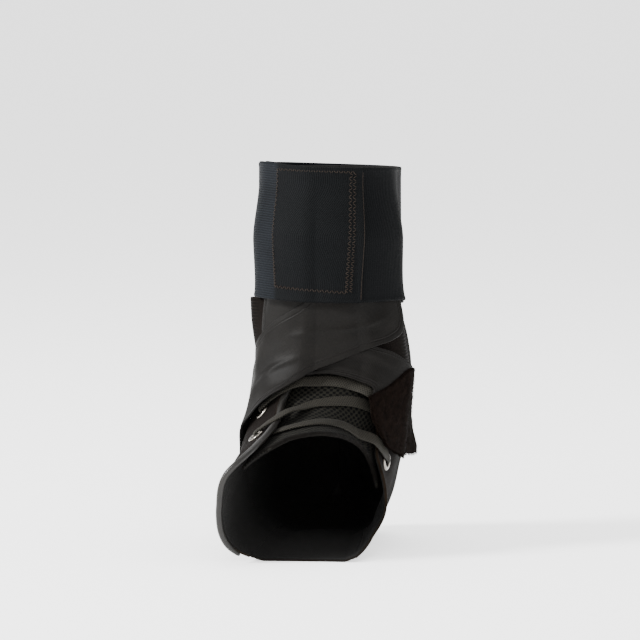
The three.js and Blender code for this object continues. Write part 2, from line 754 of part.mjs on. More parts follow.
const tabWhere = strip(tabLow, tabHigh, seamBow);
const tabFrom = (1.2 * clearance) / tabLength;
const tabRise = (u, v) => tabLift * step(0.45, 1, v) * step(0.5, 1, u);
const tabBox = new THREE.BoxGeometry(1, 1, 1, ...tabFacets, 1);
add("strap_tab", bend(tabBox, (p) => {
  const u = p.x + 0.5;
  const v = p.y + 0.5;
  const [s, t] = tabWhere(u, mix(tabFrom, 1, v));
  const level = lowerStrapInner(s, t) + tabRise(u, v) + (p.z < 0 ? 0 : tabThickness);
  return place(s, t, level);
}), tabFinish);

// Cuff with the hook patch under its free end; the two share their rows and columns
const cuffRows = [0, 0.04, 0.16, 0.28, 0.4, 0.6, 0.8, 0.9, 1];
const cuffStep = 0.025;
const outerLift = cuffThickness + patchThickness + 2 * patchClearance;

function cuffWhere(v, t) {
  const lean = 0.003 * Math.sin(2 * Math.PI * t);
  const row = v * (cuffRows.length - 1);
  const k = clamp(Math.floor(row + 1e-6), 0, cuffRows.length - 2);
  const share = mix(cuffRows[k], cuffRows[k + 1], row - k);
  return [mix(cuffTop + lean, cuffBottom + 2 * lean, share), t];
}

const cuffColumns = Math.round((cuffEnd - cuffStart) / cuffStep);
const cuffBox = new THREE.BoxGeometry(1, 1, 1, cuffColumns, cuffRows.length - 1, 1);
add("elastic_cuff", bend(cuffBox, (p) => {
  const [s, t] = cuffWhere(p.y + 0.5, mix(cuffStart, cuffEnd, p.x + 0.5));
  const level = cuffInner(s, t) + outerLift * step(0.67, 0.81, t);
  return place(s, t, level + (p.z < 0 ? 0 : cuffThickness));
}), cuffFinish);

const patchRows = [1, cuffRows.length - 2];
const patchWhereAt = (u, v) => {
  const row = mix(patchRows[0], patchRows[1], v);
  return cuffWhere(row / (cuffRows.length - 1), mix(patchStart, patchEnd, u));
};
const patchInner = (s, t) => cuffInner(s, t) + cuffThickness + patchClearance;
const patchOuter = (s, t) => patchInner(s, t) + patchThickness;
const patchColumns = Math.round((patchEnd - patchStart) / cuffStep);
const patchLines = patchRows[1] - patchRows[0];
add("hook_patch", sheet(patchColumns, patchLines, patchWhereAt, patchInner, patchOuter), patchFinish);

export default group;
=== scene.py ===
"""Looks of a right-hand lace-up ankle brace, standing on its sole.

Lengths are millimetres while a shape is worked out, and put_mesh turns them to metres. A place on
the brace is a pair: along, from 0 at the top to 1 at the front edge, and turn, from 0 at the front
through 0.25 on the inner side to 0.5 at the back, with -0.25 on the outer side.
"""

import logging
import math
from collections.abc import Callable
from dataclasses import dataclass, field
from enum import Enum

import bmesh
import bpy
import numpy as np
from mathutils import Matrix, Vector


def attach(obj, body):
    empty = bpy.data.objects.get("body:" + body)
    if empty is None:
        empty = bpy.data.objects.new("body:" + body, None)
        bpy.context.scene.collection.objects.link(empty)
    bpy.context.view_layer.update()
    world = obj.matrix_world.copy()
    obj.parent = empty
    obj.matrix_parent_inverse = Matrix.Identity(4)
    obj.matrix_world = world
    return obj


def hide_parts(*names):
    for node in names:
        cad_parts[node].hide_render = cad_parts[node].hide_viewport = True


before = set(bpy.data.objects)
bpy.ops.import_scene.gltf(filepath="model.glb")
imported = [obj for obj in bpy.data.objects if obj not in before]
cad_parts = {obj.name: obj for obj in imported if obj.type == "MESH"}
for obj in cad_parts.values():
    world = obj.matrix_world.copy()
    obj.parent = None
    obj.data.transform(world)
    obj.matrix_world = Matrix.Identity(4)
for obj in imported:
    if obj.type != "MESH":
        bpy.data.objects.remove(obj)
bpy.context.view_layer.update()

LOG = logging.getLogger("ankle_brace")
MM = 0.001
Array = np.ndarray
Level = Callable[[Array, Array], Array]
Where = Callable[[Array, Array], tuple[Array, Array]]
Line = list[tuple[float, float]]
Border = Callable[[Array], Array]
Socket = bpy.types.NodeSocket


def ramp(low: float, high: float, value: Array) -> Array:
    """Return 0 below low, 1 above high and a smooth S between them."""
    x = np.clip((value - low) / (high - low), 0.0, 1.0)
    return x * x * (3.0 - 2.0 * x)


def mix(a: Array, b: Array, share: Array) -> Array:
    """Return a where share is 0, b where it is 1, and a straight blend between."""
    return a + (b - a) * share


def bump(value: Array, middle: float, width: float) -> Array:
    """Return a bell curve of height 1 at middle, falling to 1/e at width."""
    return np.exp(-(((value - middle) / width) ** 2))


def wrap(turn: Array) -> Array:
    """Return the turn brought to the range from -0.5 to 0.5."""
    return turn - np.floor(turn + 0.5)


def unit(vectors: Array) -> Array:
    """Return the vectors at length 1."""
    return vectors / np.maximum(np.linalg.norm(vectors, axis=-1, keepdims=True), 1e-9)


def table_at(table: Line, at: Array) -> Array:
    """Return a table of (at, value) pairs read by straight interpolation."""
    pairs = np.asarray(table)
    return np.interp(at, pairs[:, 0], pairs[:, 1])


def smooth_line(points: Array | Line, share: Array) -> Array:
    """Return a Catmull-Rom curve through the points.

    Args:
        points: One row for each point that the curve passes through.
        share: How far along, 0 at the first point and 1 at the last.

    Returns:
        One row for each share.
    """
    p = np.asarray(points, dtype=float)
    p = np.vstack([2 * p[0] - p[1], p, 2 * p[-1] - p[-2]])
    last = len(p) - 3
    x = np.asarray(share, dtype=float) * last
    i = np.clip(np.floor(x).astype(int), 0, last - 1)
    f = (x - i)[..., None]
    a, b, c, d = p[i], p[i + 1], p[i + 2], p[i + 3]
    return 0.5 * (2 * b + (c - a) * f + (2 * a - 5 * b + 4 * c - d) * f**2 + (3 * b - a - 3 * c + d) * f**3)


def ripple(x: Array, y: Array, size: float, seed: int) -> Array:
    """Return soft irregular waves between about -1 and 1.

    The height is a sum of seven plane waves with seeded directions, phases and lengths round size.

    Args:
        x: First coordinate, millimetres.
        y: Second coordinate.
        size: Usual length of a wave.
        seed: Seed of the draws.

    Returns:
        The height at each point.
    """
    rng = np.random.default_rng(seed)
    total = np.zeros(np.broadcast(x, y).shape)
    for _ in range(7):
        angle = rng.uniform(0, 2 * np.pi)
        length = size * rng.uniform(0.7, 1.5)
        phase = rng.uniform(0, 2 * np.pi)
        total = total + np.sin(2 * np.pi * (x * np.cos(angle) + y * np.sin(angle)) / length + phase)
    return total / 3.5


@dataclass(frozen=True)
class Gauge:
    """Thicknesses of the layers and the clearances between them, millimetres."""

    shell: float = 1.6
    tongue: float = 2.2
    lace: float = 1.1
    strap: float = 1.0
    cuff: float = 1.3
    patch: float = 0.7
    stay: float = 1.0
    tab: float = 2.0
    rest: float = 0.3
    lace_rest: float = 0.6
    strap_rest: float = 0.8
    patch_rest: float = 0.6
    eyelet_seat: float = 0.5
    flange: float = 0.6
    seam: float = 0.4
    roll_width: float = 4.1
    roll_height: float = 2.6


@dataclass(frozen=True)
class BootForm:
    """The inner form that every layer lies over.

    Each section is a superellipse between a front point and a sole or back point. Its row holds
    front and back places as shares of the reaches and the height, the place of the widest line,
    the sideways shift and half widths as shares of the half width, and the roundness of its halves.
    """

    height: float = 213.0
    front_reach: float = 117.0
    heel_reach: float = 61.0
    half_width: float = 44.0
    girth: float = 240.0
    # front y, front z, back y, back z, widest, shift, lateral, medial, front and back roundness
    sections: tuple[tuple[float, ...], ...] = (
        (-0.350, 1.0000, 0.7540, 0.991, 0.50, 0.000, 0.750, 0.784, 2.15, 2.15),
        (-0.342, 0.8170, 0.7050, 0.808, 0.50, 0.000, 0.748, 0.784, 2.15, 2.15),
        (-0.333, 0.6670, 0.6720, 0.648, 0.50, 0.000, 0.716, 0.784, 2.15, 2.15),
        (-0.333, 0.5540, 0.6720, 0.498, 0.50, 0.000, 0.820, 0.932, 2.15, 2.15),
        (-0.350, 0.4740, 0.7700, 0.357, 0.48, 0.000, 0.855, 0.965, 2.25, 2.20),
        (-0.393, 0.4200, 0.9020, 0.230, 0.46, -0.023, 0.890, 0.920, 2.22, 2.30),
        (-0.453, 0.3850, 1.0000, 0.108, 0.46, -0.068, 0.885, 0.905, 2.20, 2.40),
        (-0.521, 0.3615, 0.7700, 0.009, 0.48, -0.102, 0.900, 0.818, 2.10, 2.60),
        (-0.607, 0.3400, 0.1970, 0.000, 0.50, -0.114, 0.909, 0.739, 2.00, 2.80),
        (-0.744, 0.3190, -0.2910, 0.000, 0.52, -0.080, 0.943, 0.761, 1.95, 3.00),
        (-1.000, 0.2890, -0.8205, 0.000, 0.54, -0.045, 1.000, 0.795, 1.90, 3.00),
    )

    def point(self, along: Array, turn: Array) -> Array:
        """Return the form's point at each place, as x, y and z in the last axis."""
        along, turn = np.broadcast_arrays(np.asarray(along, float), np.asarray(turn, float))
        columns = np.moveaxis(smooth_line(np.array(self.sections), along), -1, 0)
        front_y, front_z, back_y, back_z, widest, shift, lateral, medial, front_round, back_round = columns
        c = np.cos(2 * np.pi * turn)
        n = np.sin(2 * np.pi * turn)
        power = 2.0 / np.where(c > 0, front_round, back_round)
        half = np.where(n > 0, medial, lateral) * self.half_width
        x = shift * self.half_width + half * np.sign(n) * np.abs(n) ** power
        depth = np.abs(c) ** power
        front = np.stack([self.reach(front_y), front_z * self.height], axis=-1)
        back = np.stack([self.reach(back_y), back_z * self.height], axis=-1)
        middle = mix(front, back, widest[..., None])
        end = np.where((c > 0)[..., None], front, back)
        side = mix(middle, end, depth[..., None])
        return np.stack([x, side[..., 0], side[..., 1]], axis=-1)

    def reach(self, share: Array) -> Array:
        """Return a share of the front reach where it is negative, else of the heel reach."""
        return np.where(share < 0, share * self.front_reach, share * self.heel_reach)

    def slopes(self, along: Array, turn: Array) -> tuple[Array, Array]:
        """Return the form's derivatives along and round it, by central differences."""
        e = 1e-3
        ds = (self.point(along + e, turn) - self.point(along - e, turn)) / (2 * e)
        dt = (self.point(along, turn + e) - self.point(along, turn - e)) / (2 * e)
        return ds, dt

    def normal(self, along: Array, turn: Array) -> Array:
        """Return the unit vector out of the form at each place."""
        ds, dt = self.slopes(along, turn)
        return unit(np.cross(ds, dt))

    def place(self, along: Array, turn: Array, level: Array) -> Array:
        """Return the points at a level over the form, with the underside kept flat."""
        made = self.point(along, turn) + self.normal(along, turn) * np.asarray(level)[..., None]
        made[..., 2] = np.maximum(made[..., 2], Gauge().shell - level)
        return made

    def shifted(self, along: float, turn: float, vector: Array) -> tuple[float, float]:
        """Return the place that lies a short vector away from another.

        Args:
            along: The first place's share along.
            turn: Its turn.
            vector: The way to the second place, in millimetres and in the form's surface.

        Returns:
            Along and turn of the second place, by the form's slopes at the first.
        """
        ds, dt = self.slopes(np.array(along), np.array(turn))
        grid = np.array([[ds @ ds, ds @ dt], [ds @ dt, dt @ dt]])
        move = np.linalg.solve(grid, [vector @ ds, vector @ dt])
        return along + move[0], turn + move[1]


# Borders and rows as places, each a pair of along and turn
OUTER_EYE_LINE = [(0, -0.088), (0.17, -0.09), (0.44, -0.095), (0.66, -0.1), (0.893, -0.102), (1, -0.12)]
INNER_EYE_LINE = [
    (0, 0.125), (0.235, 0.13), (0.36, 0.135), (0.47, 0.14), (0.58, 0.15), (0.748, 0.205),
    (0.9, 0.235), (1, 0.24),
]
OUTER_EYELETS = (0.893, 0.66, 0.37, 0.24, 0.11)
INNER_EYELETS = (0.748, 0.58, 0.43, 0.26, 0.16)
EYELET_ROWS = {"lateral": (OUTER_EYELETS, OUTER_EYE_LINE), "medial": (INNER_EYELETS, INNER_EYE_LINE)}
ROLL_LINE = [
    (0.025, -0.05), (0.2, -0.05), (0.42, -0.051), (0.638, -0.053), (0.78, -0.053), (0.858, -0.06),
    (0.92, -0.073), (0.96, -0.089), (0.995, -0.113), (1.015, -0.145), (1.02, -0.2), (1.018, -0.27),
    (1.014, -0.33), (1.011, -0.37),
]
BOOT_TOP = 0.012
SOLE_END = 0.998
INNER_THROAT = [
    (BOOT_TOP, 0.085), (0.235, 0.09), (0.36, 0.094), (0.47, 0.1), (0.58, 0.112), (0.748, 0.163),
    (0.82, 0.188), (0.868, 0.212),
]
INNER_FRONT = [(0.868, 0.212), (0.888, 0.25), (0.928, 0.3), (0.968, 0.36), (SOLE_END, 0.4)]
TONGUE_OUTER = [(0.022, -0.095), (0.25, -0.095), (0.5, -0.098), (0.75, -0.108), (0.99, -0.135)]
TONGUE_INNER = [(0.022, 0.125), (0.25, 0.128), (0.5, 0.14), (0.58, 0.15), (0.75, 0.2), (0.858, 0.244)]
TONGUE_FRONT = [
    (0.99, -0.135), (0.976, -0.1), (0.961, -0.067), (0.938, -0.035), (0.92, 0.008), (0.888, 0.058),
    (0.848, 0.1), (0.815, 0.135), (0.812, 0.18), (0.858, 0.244),
]
UPPER_STRAP_LOW = [
    (0.79, -0.37), (0.77, -0.30), (0.755, -0.22), (0.728, -0.135), (0.69, -0.098), (0.583, -0.042),
    (0.466, -0.015), (0.393, 0.025), (0.343, 0.075), (0.315, 0.122), (0.285, 0.151), (0.22, 0.16),
    (0.165, 0.158), (0.12, 0.155),
]
UPPER_STRAP_HIGH = [
    (0.66, -0.375), (0.60, -0.32), (0.505, -0.27), (0.392, -0.20), (0.291, -0.112), (0.26, -0.08),
    (0.228, -0.037), (0.20, -0.01), (0.18, 0.008), (0.16, 0.018), (0.145, 0.024), (0.135, 0.028),
    (0.127, 0.03), (0.12, 0.03),
]
LOWER_STRAP_LOW = [
    (0.573, 0.087), (0.505, 0.09), (0.478, 0.06), (0.46, 0.018), (0.462, -0.005), (0.475, -0.022),
    (0.47, -0.06), (0.41, -0.1), (0.33, -0.12), (0.25, -0.14), (0.18, -0.14), (0.12, -0.135),
]
LOWER_STRAP_HIGH = [
    (0.388, 0.2), (0.366, 0.155), (0.348, 0.125), (0.336, 0.095), (0.32, 0.075), (0.295, 0.055), (0.26, 0.03),
    (0.22, 0.01), (0.185, 0.0), (0.16, -0.008), (0.138, -0.012), (0.12, -0.014),
]
CROSSING_EDGE = [(0.12, -0.145), (0.28, -0.14), (0.42, -0.105), (0.48, -0.065), (0.6, -0.055)]
SEAM_BOW = 0.055
# How much of the flare is left at each place along
FLARE_FALL = [(0.2215, 1.0), (0.34, 0.22), (0.46, 0.14), (0.62, 0.0)]
TAB_LOW = [(0.573, 0.087), (0.657, 0.107), (0.71, 0.133), (0.735, 0.155), (0.745, 0.168)]
TAB_HIGH = [(0.388, 0.2), (0.43, 0.232), (0.48, 0.256), (0.53, 0.27), (0.585, 0.274)]
CUFF_START = -0.175
CUFF_END = 1.075
CUFF_TOP = 0.009
CUFF_BOTTOM = 0.222
PATCH_START = -0.15
PATCH_END = 0.05

# The lace from eyelet to eyelet; the flags tell whether each end lies over the boot's margin
LACE_BARS: list[tuple[tuple[bool, bool], Line]] = [
    ((True, False), [
        (0.748, 0.205), (0.75, 0.172), (0.76, 0.14), (0.772, 0.11), (0.785, 0.08), (0.823, 0.04),
        (0.868, -0.005), (0.888, -0.045), (0.893, -0.102)]),
    ((True, False), [
        (0.893, -0.102), (0.853, -0.062), (0.79, -0.033), (0.675, -0.003), (0.635, 0.023), (0.598, 0.055),
        (0.583, 0.09), (0.58, 0.15)]),
    ((True, True), [
        (0.58, 0.15), (0.555, 0.115), (0.525, 0.09), (0.495, 0.065), (0.482, 0.035), (0.482, 0),
        (0.507, -0.03), (0.552, -0.055), (0.595, -0.077), (0.66, -0.1)]),
    ((False, True), [
        (0.66, -0.1), (0.575, -0.1), (0.47, -0.08), (0.41, -0.03), (0.395, 0.02), (0.402, 0.075),
        (0.43, 0.138)]),
    ((False, True), [
        (0.43, 0.138), (0.37, 0.10), (0.337, 0.06), (0.325, 0.015), (0.32, -0.03), (0.335, -0.065),
        (0.37, -0.094)]),
    ((False, True), [
        (0.37, -0.094), (0.30, -0.08), (0.26, -0.03), (0.25, 0.02), (0.245, 0.075), (0.26, 0.131)]),
    ((False, True), [(0.26, 0.131), (0.225, 0.09), (0.20, 0.04), (0.19, 0), (0.2, -0.05), (0.24, -0.091)]),
    ((False, True), [
        (0.24, -0.091), (0.17, -0.07), (0.135, -0.02), (0.13, 0.03), (0.14, 0.08), (0.16, 0.128)]),
    ((False, True), [(0.16, 0.128), (0.11, 0.09), (0.08, 0.04), (0.072, 0), (0.08, -0.05), (0.11, -0.089)]),
]


@dataclass(frozen=True)
class Layers:
    """Levels of the layers over the form, each from the one that lies under it."""

    form: BootForm = BootForm()
    gauge: Gauge = Gauge()
    flare_out: float = 10.8
    taut_steps: tuple[float, ...] = (-0.066, -0.044, -0.022, 0.0, 0.022, 0.044, 0.066)

    def raised(self, along: Array, turn: Array) -> Array:
        """Return 1 where the boot lies over the tongue and 0 where it lies on the form."""
        t = wrap(turn)
        outer = 1 - ramp(0.028, 0.115, table_at(OUTER_EYE_LINE, along) - t)
        inner = 1 - ramp(0.024, 0.1, t - table_at(INNER_EYE_LINE, along))
        return outer * inner

    def laced(self, along: Array, turn: Array) -> Array:
        """Return 1 where eyelets and lace lie on the boot and the straps pass over them."""
        t = wrap(turn)
        outer = 1 - ramp(0.026, 0.085, table_at(OUTER_EYE_LINE, along) - t)
        inner = 1 - ramp(0.022, 0.08, t - table_at(INNER_EYE_LINE, along))
        return outer * inner * (1 - ramp(0.84, 0.95, along))

    def over_tongue(self, along: Array, turn: Array) -> Array:
        """Return 1 between the boot's two margins."""
        t = wrap(turn)
        outer = ramp(0.06, 0.115, t - table_at(OUTER_EYE_LINE, along))
        return outer * ramp(0.05, 0.105, table_at(INNER_EYE_LINE, along) - t)

    def flare(self, along: Array, turn: Array) -> Array:
        """Return how far the outer side stands off below the cuff."""
        t = wrap(turn)
        down = ramp(0.2145, 0.2215, along) * table_at(FLARE_FALL, along)
        return self.flare_out * down * ramp(0.15, 0.2, -t) * (1 - ramp(0.3, 0.4, -t))

    @property
    def raise_height(self) -> float:
        """Height of the tongue with the lace under the margin."""
        return self.gauge.tongue + self.gauge.lace + 2 * self.gauge.lace_rest

    @property
    def lace_height(self) -> float:
        """Height of an eyelet with the lace over it."""
        return self.gauge.eyelet_seat + self.gauge.flange + self.gauge.rest + self.gauge.lace

    def shell_inner(self, along: Array, turn: Array) -> Array:
        """Return the level of the boot's inner face."""
        return self.raise_height * self.raised(along, turn) + self.flare(along, turn)

    def shell_outer(self, along: Array, turn: Array) -> Array:
        """Return the level of the boot's outer face."""
        return self.shell_inner(along, turn) + self.gauge.shell

    def lower_strap(self, along: Array, turn: Array) -> Array:
        """Return the level of the lower strap's inner face, pulled taut over the hollows under it."""
        slack = self.resting(along, turn)
        taut = sum(self.resting(along, turn + step) for step in self.taut_steps) / len(self.taut_steps)
        front = 1 - ramp(0.1, 0.17, np.abs(wrap(turn)))
        return mix(slack, np.maximum(slack, taut), front)

    def resting(self, along: Array, turn: Array) -> Array:
        """Return the level of a strap that follows every step of what it lies on."""
        side = self.shell_outer(along, turn) + self.gauge.strap_rest
        side = side + self.laced(along, turn) * self.lace_height
        return mix(side, self.raise_height + self.gauge.strap_rest, self.over_tongue(along, turn))

    def upper_strap(self, along: Array, turn: Array) -> Array:
        """Return the level of the upper strap's inner face."""
        crossing = 1 - ramp(0.01, 0.07, table_at(CROSSING_EDGE, along) - wrap(turn))
        lift = mix(self.gauge.rest, self.gauge.strap + self.gauge.strap_rest, crossing)
        return self.lower_strap(along, turn) + lift

    def cuff(self, along: Array, turn: Array) -> Array:
        """Return the level of the cuff's inner face."""
        g = self.gauge
        over_stay = (g.stay + g.rest) * (1 - ramp(0.07, 0.13, np.abs(wrap(turn + 0.5))))
        over_roll = (g.roll_height - g.shell) * (1 - ramp(0.02, 0.06, np.abs(wrap(turn - ROLL_LINE[0][1]))))
        top = self.shell_outer(along, turn) + g.strap_rest + over_stay + over_roll
        straps = 1 - ramp(0.168, 0.205, np.abs(wrap(turn)))
        low = mix(np.maximum(over_stay, g.rest), 2 * (g.strap + g.strap_rest), straps)
        return mix(top, self.lower_strap(along, turn) + low, ramp(0.02, 0.115, along))

    def lace_level(self, along: Array, turn: Array, over: bool) -> Array:
        """Return the level of the lace's middle at an end that lies over or under the margin."""
        g = self.gauge
        low = g.tongue + g.lace_rest + g.lace / 2
        high = self.shell_outer(along, turn) + self.lace_height - g.lace / 2
        inner = table_at(INNER_THROAT, along) - turn
        outer = turn - table_at(ROLL_LINE[:9], along)
        edge = np.where(turn > 0.02, inner, outer)
        return mix(low, high, 1 - ramp(0.014, 0.05, edge)) if over else np.full(np.shape(along), low)


LAYERS = Layers()
FORM = LAYERS.form
GAUGE = LAYERS.gauge


def grid_faces(rows: int, columns: int, first: int = 0, flip: bool = False) -> Array:
    """Return the quads of a grid whose vertices are numbered row by row from first."""
    k = first + np.arange(rows * columns).reshape(rows, columns)
    quads = np.stack([k[:-1, :-1], k[1:, :-1], k[1:, 1:], k[:-1, 1:]], axis=-1).reshape(-1, 4)
    return quads[:, ::-1] if flip else quads


def put_mesh(
    name: str,
    points: Array,
    faces: list[Array],
    materials: list[bpy.types.Material],
    uv: Array | None = None,
    face_material: Array | None = None,
    values: dict[str, Array] | None = None,
) -> bpy.types.Object:
    """Make a mesh object from whole arrays.

    Args:
        name: The piece's name.
        points: Vertices in millimetres.
        faces: Blocks of faces with the same number of sides, one face a row.
        materials: Finishes in slot order.
        uv: Pattern coordinates of each vertex in millimetres.
        face_material: The slot of each face.
        values: Named numbers, one for each vertex, that a finish reads.

    Returns:
        The new object, smooth shaded, at the origin.
    """
    mesh = bpy.data.meshes.new(name)
    flat = np.ascontiguousarray(points.reshape(-1, 3) * MM, dtype=np.float32)
    corners = np.concatenate([face_block.ravel() for face_block in faces]).astype(np.int32)
    sides = np.concatenate([np.full(len(face_block), face_block.shape[1]) for face_block in faces])
    mesh.vertices.add(len(flat))
    mesh.vertices.foreach_set("co", flat.ravel())
    mesh.loops.add(len(corners))
    mesh.loops.foreach_set("vertex_index", corners)
    mesh.polygons.add(len(sides))
    mesh.polygons.foreach_set("loop_start", (np.cumsum(sides) - sides).astype(np.int32))
    mesh.polygons.foreach_set("use_smooth", np.ones(len(sides), dtype=bool))
    for material in materials:
        mesh.materials.append(material)
    if face_material is not None:
        mesh.polygons.foreach_set("material_index", face_material.astype(np.int32))
    if uv is not None:
        layer = mesh.uv_layers.new(name="cloth")
        pattern = (uv.reshape(-1, 2) * MM)[corners]
        layer.data.foreach_set("uv", np.ascontiguousarray(pattern, dtype=np.float32).ravel())
    for label, numbers in (values or {}).items():
        made = mesh.attributes.new(label, "FLOAT", "POINT")
        made.data.foreach_set("value", np.ascontiguousarray(numbers.ravel(), dtype=np.float32))
    mesh.update(calc_edges=True)
    mesh.validate()
    piece = bpy.data.objects.new(name, mesh)
    bpy.context.scene.collection.objects.link(piece)
    return piece


def lengths_along(points: Array, axis: int) -> Array:
    """Return the running length of a grid of points along one of its axes."""
    steps = np.linalg.norm(np.diff(points, axis=axis), axis=-1)
    start = np.zeros_like(np.take(steps, [0], axis=axis))
    return np.concatenate([start, np.cumsum(steps, axis=axis)], axis=axis)


@dataclass
class Cloth:
    """A grid of places on the form with the distances that folds and hems are drawn from."""

    s: Array
    t: Array
    points: Array
    across: Array
    along: Array
    width: Array
    length: Array

    @property
    def edge(self) -> Array:
        """Distance to the nearest border, millimetres."""
        return np.minimum(self.sides, np.minimum(self.along, self.length - self.along))

    @property
    def sides(self) -> Array:
        """Distance to the nearer long border, millimetres."""
        return np.minimum(self.across, self.width - self.across)


def edged(cells: int, length: float, radius: float) -> Array:
    """Return shares from 0 to 1 in even steps, with finer ones within a radius of both ends."""
    r = radius / length
    near = np.array([0.0, 0.06, 0.25, 0.6, 1.0]) * r
    middle = np.linspace(1.9 * r, 1 - 1.9 * r, cells)
    return np.concatenate([near, middle, 1 - near[::-1]])


def measured(s: Array, t: Array, points: Array) -> Cloth:
    """Return a grid of points as a cloth with its running distances."""
    width = lengths_along(points, 0)
    length = lengths_along(points, 1)
    return Cloth(s, t, points, width, length, width[-1:, :] + 0 * width, length[:, -1:] + 0 * length)


def survey(where: Where, level: Level, across: Array, along: Array) -> Cloth:
    """Lay a grid over the form and measure it.

    Args:
        where: Gives the places for two shares.
        level: Height over the form at a place.
        across: Shares across the cloth.
        along: Shares along it.

    Returns:
        The cloth.
    """
    u, v = np.meshgrid(across, along, indexing="ij")
    s, t = where(u, v)
    return measured(s, t, FORM.place(s, t, level(s, t)))


def half_round(share: Array) -> Array:
    """Return a half round's height at a share of its radius from the rim, at least 0.08 of it."""
    return 0.08 + 0.92 * np.sqrt(np.clip(1 - (1 - np.minimum(share, 1)) ** 2, 0, 1))


def unfolded(cloth: Cloth) -> Array:
    """Return a relief of nothing."""
    return 0 * cloth.s


def put_shell(
    name: str,
    top: Array,
    bottom: Array,
    materials: list[bpy.types.Material],
    uv: Array,
    values: dict[str, Array],
) -> bpy.types.Object:
    """Join an outer and an inner grid of points by quads round their rim.

    Args:
        name: The piece's name.
        top: Points of the outer face, rows by columns.
        bottom: Points of the inner face.
        materials: The outer finish, and the inner one if it differs.
        uv: Pattern coordinates of a face's points, in millimetres.
        values: Named numbers of a face's points.

    Returns:
        The new object.
    """
    rows, columns = top.shape[:2]
    total = rows * columns
    k = np.arange(total).reshape(rows, columns)
    ring = np.concatenate([k[:, 0], k[-1, 1:], k[-2::-1, -1], k[0, -2:0:-1]])
    after = np.roll(ring, -1)
    rim = np.stack([ring, ring + total, after + total, after], axis=-1)
    turned = orientation(top, bottom)
    faces = [
        grid_faces(rows, columns, 0, turned),
        grid_faces(rows, columns, total, not turned),
        rim[:, ::-1] if turned else rim,
    ]
    return put_mesh(
        name,
        np.concatenate([top.reshape(-1, 3), bottom.reshape(-1, 3)]),
        faces,
        materials,
        np.concatenate([uv.reshape(-1, 2)] * 2),
        np.repeat([0, len(materials) - 1, 0], [len(face_block) for face_block in faces]),
        {label: np.concatenate([numbers.ravel()] * 2) for label, numbers in values.items()},
    )


def put_sheet(
    name: str,
    where: Where,
    inner: Level,
    outer: Level,
    cells: tuple[int, int],
    materials: list[bpy.types.Material],
    relief: Callable[[Cloth], Array] | None = None,
    back_relief: Callable[[Cloth], Array] | None = None,
    values: Callable[[Cloth], dict[str, Array]] | None = None,
    finer: tuple[float, float, int] | None = None,
) -> bpy.types.Object:
    """Make a piece of cloth over the form, closed all round, with round edges.

    The two faces lie half a thickness either side of the middle level, and close on each other
    along a half round of that radius: face = middle + half * sqrt(1 - (1 - edge / half)^2).

    Args:
        name: The piece's name.
        where: Gives the places for two shares.
        inner: Level of the inner face.
        outer: Level of the outer face.
        cells: Steps across and along.
        materials: The outer finish, and the inner one if it differs.
        relief: Height that folds and hems add to the outer face and carry the inner one along.
        back_relief: Height added to the inner face instead of relief.
        values: Named numbers for the finish.
        finer: Start, end and count of extra steps along.

    Returns:
        The new object.
    """
    def middle(s: Array, t: Array) -> Array:
        """Return the level between the two faces."""
        return (inner(s, t) + outer(s, t)) / 2

    coarse = survey(where, middle, np.linspace(0, 1, 9), np.linspace(0, 1, 9))
    half = float(np.mean(outer(coarse.s, coarse.t) - inner(coarse.s, coarse.t))) / 2
    across = edged(cells[0], float(coarse.width.mean()), half)
    along = edged(cells[1], float(coarse.length.mean()), half)
    along = np.unique(np.concatenate([along, np.linspace(*finer) if finer else along[:0]]))
    cloth = survey(where, middle, across, along)
    rounding = half_round(cloth.edge / half)
    added = relief(cloth) if relief else unfolded(cloth)
    under = back_relief(cloth) if back_relief else added
    level = middle(cloth.s, cloth.t)
    thick = (outer(cloth.s, cloth.t) - inner(cloth.s, cloth.t)) / 2
    top = FORM.place(cloth.s, cloth.t, level + thick * rounding + added)
    bottom = FORM.place(cloth.s, cloth.t, level - thick * rounding + under)
    uv = np.stack([cloth.across - cloth.width / 2, cloth.along], axis=-1)
    return put_shell(name, top, bottom, materials, uv, values(cloth) if values else {})


def orientation(top: Array, bottom: Array) -> bool:
    """Return whether a grid's own quads face from top to bottom and so need turning round."""
    i, j = top.shape[0] // 2, top.shape[1] // 2
    a = top[i + 1, j] - top[i, j]
    b = top[i, j + 1] - top[i, j]
    return bool(np.cross(a, b) @ (top[i, j] - bottom[i, j]) < 0)


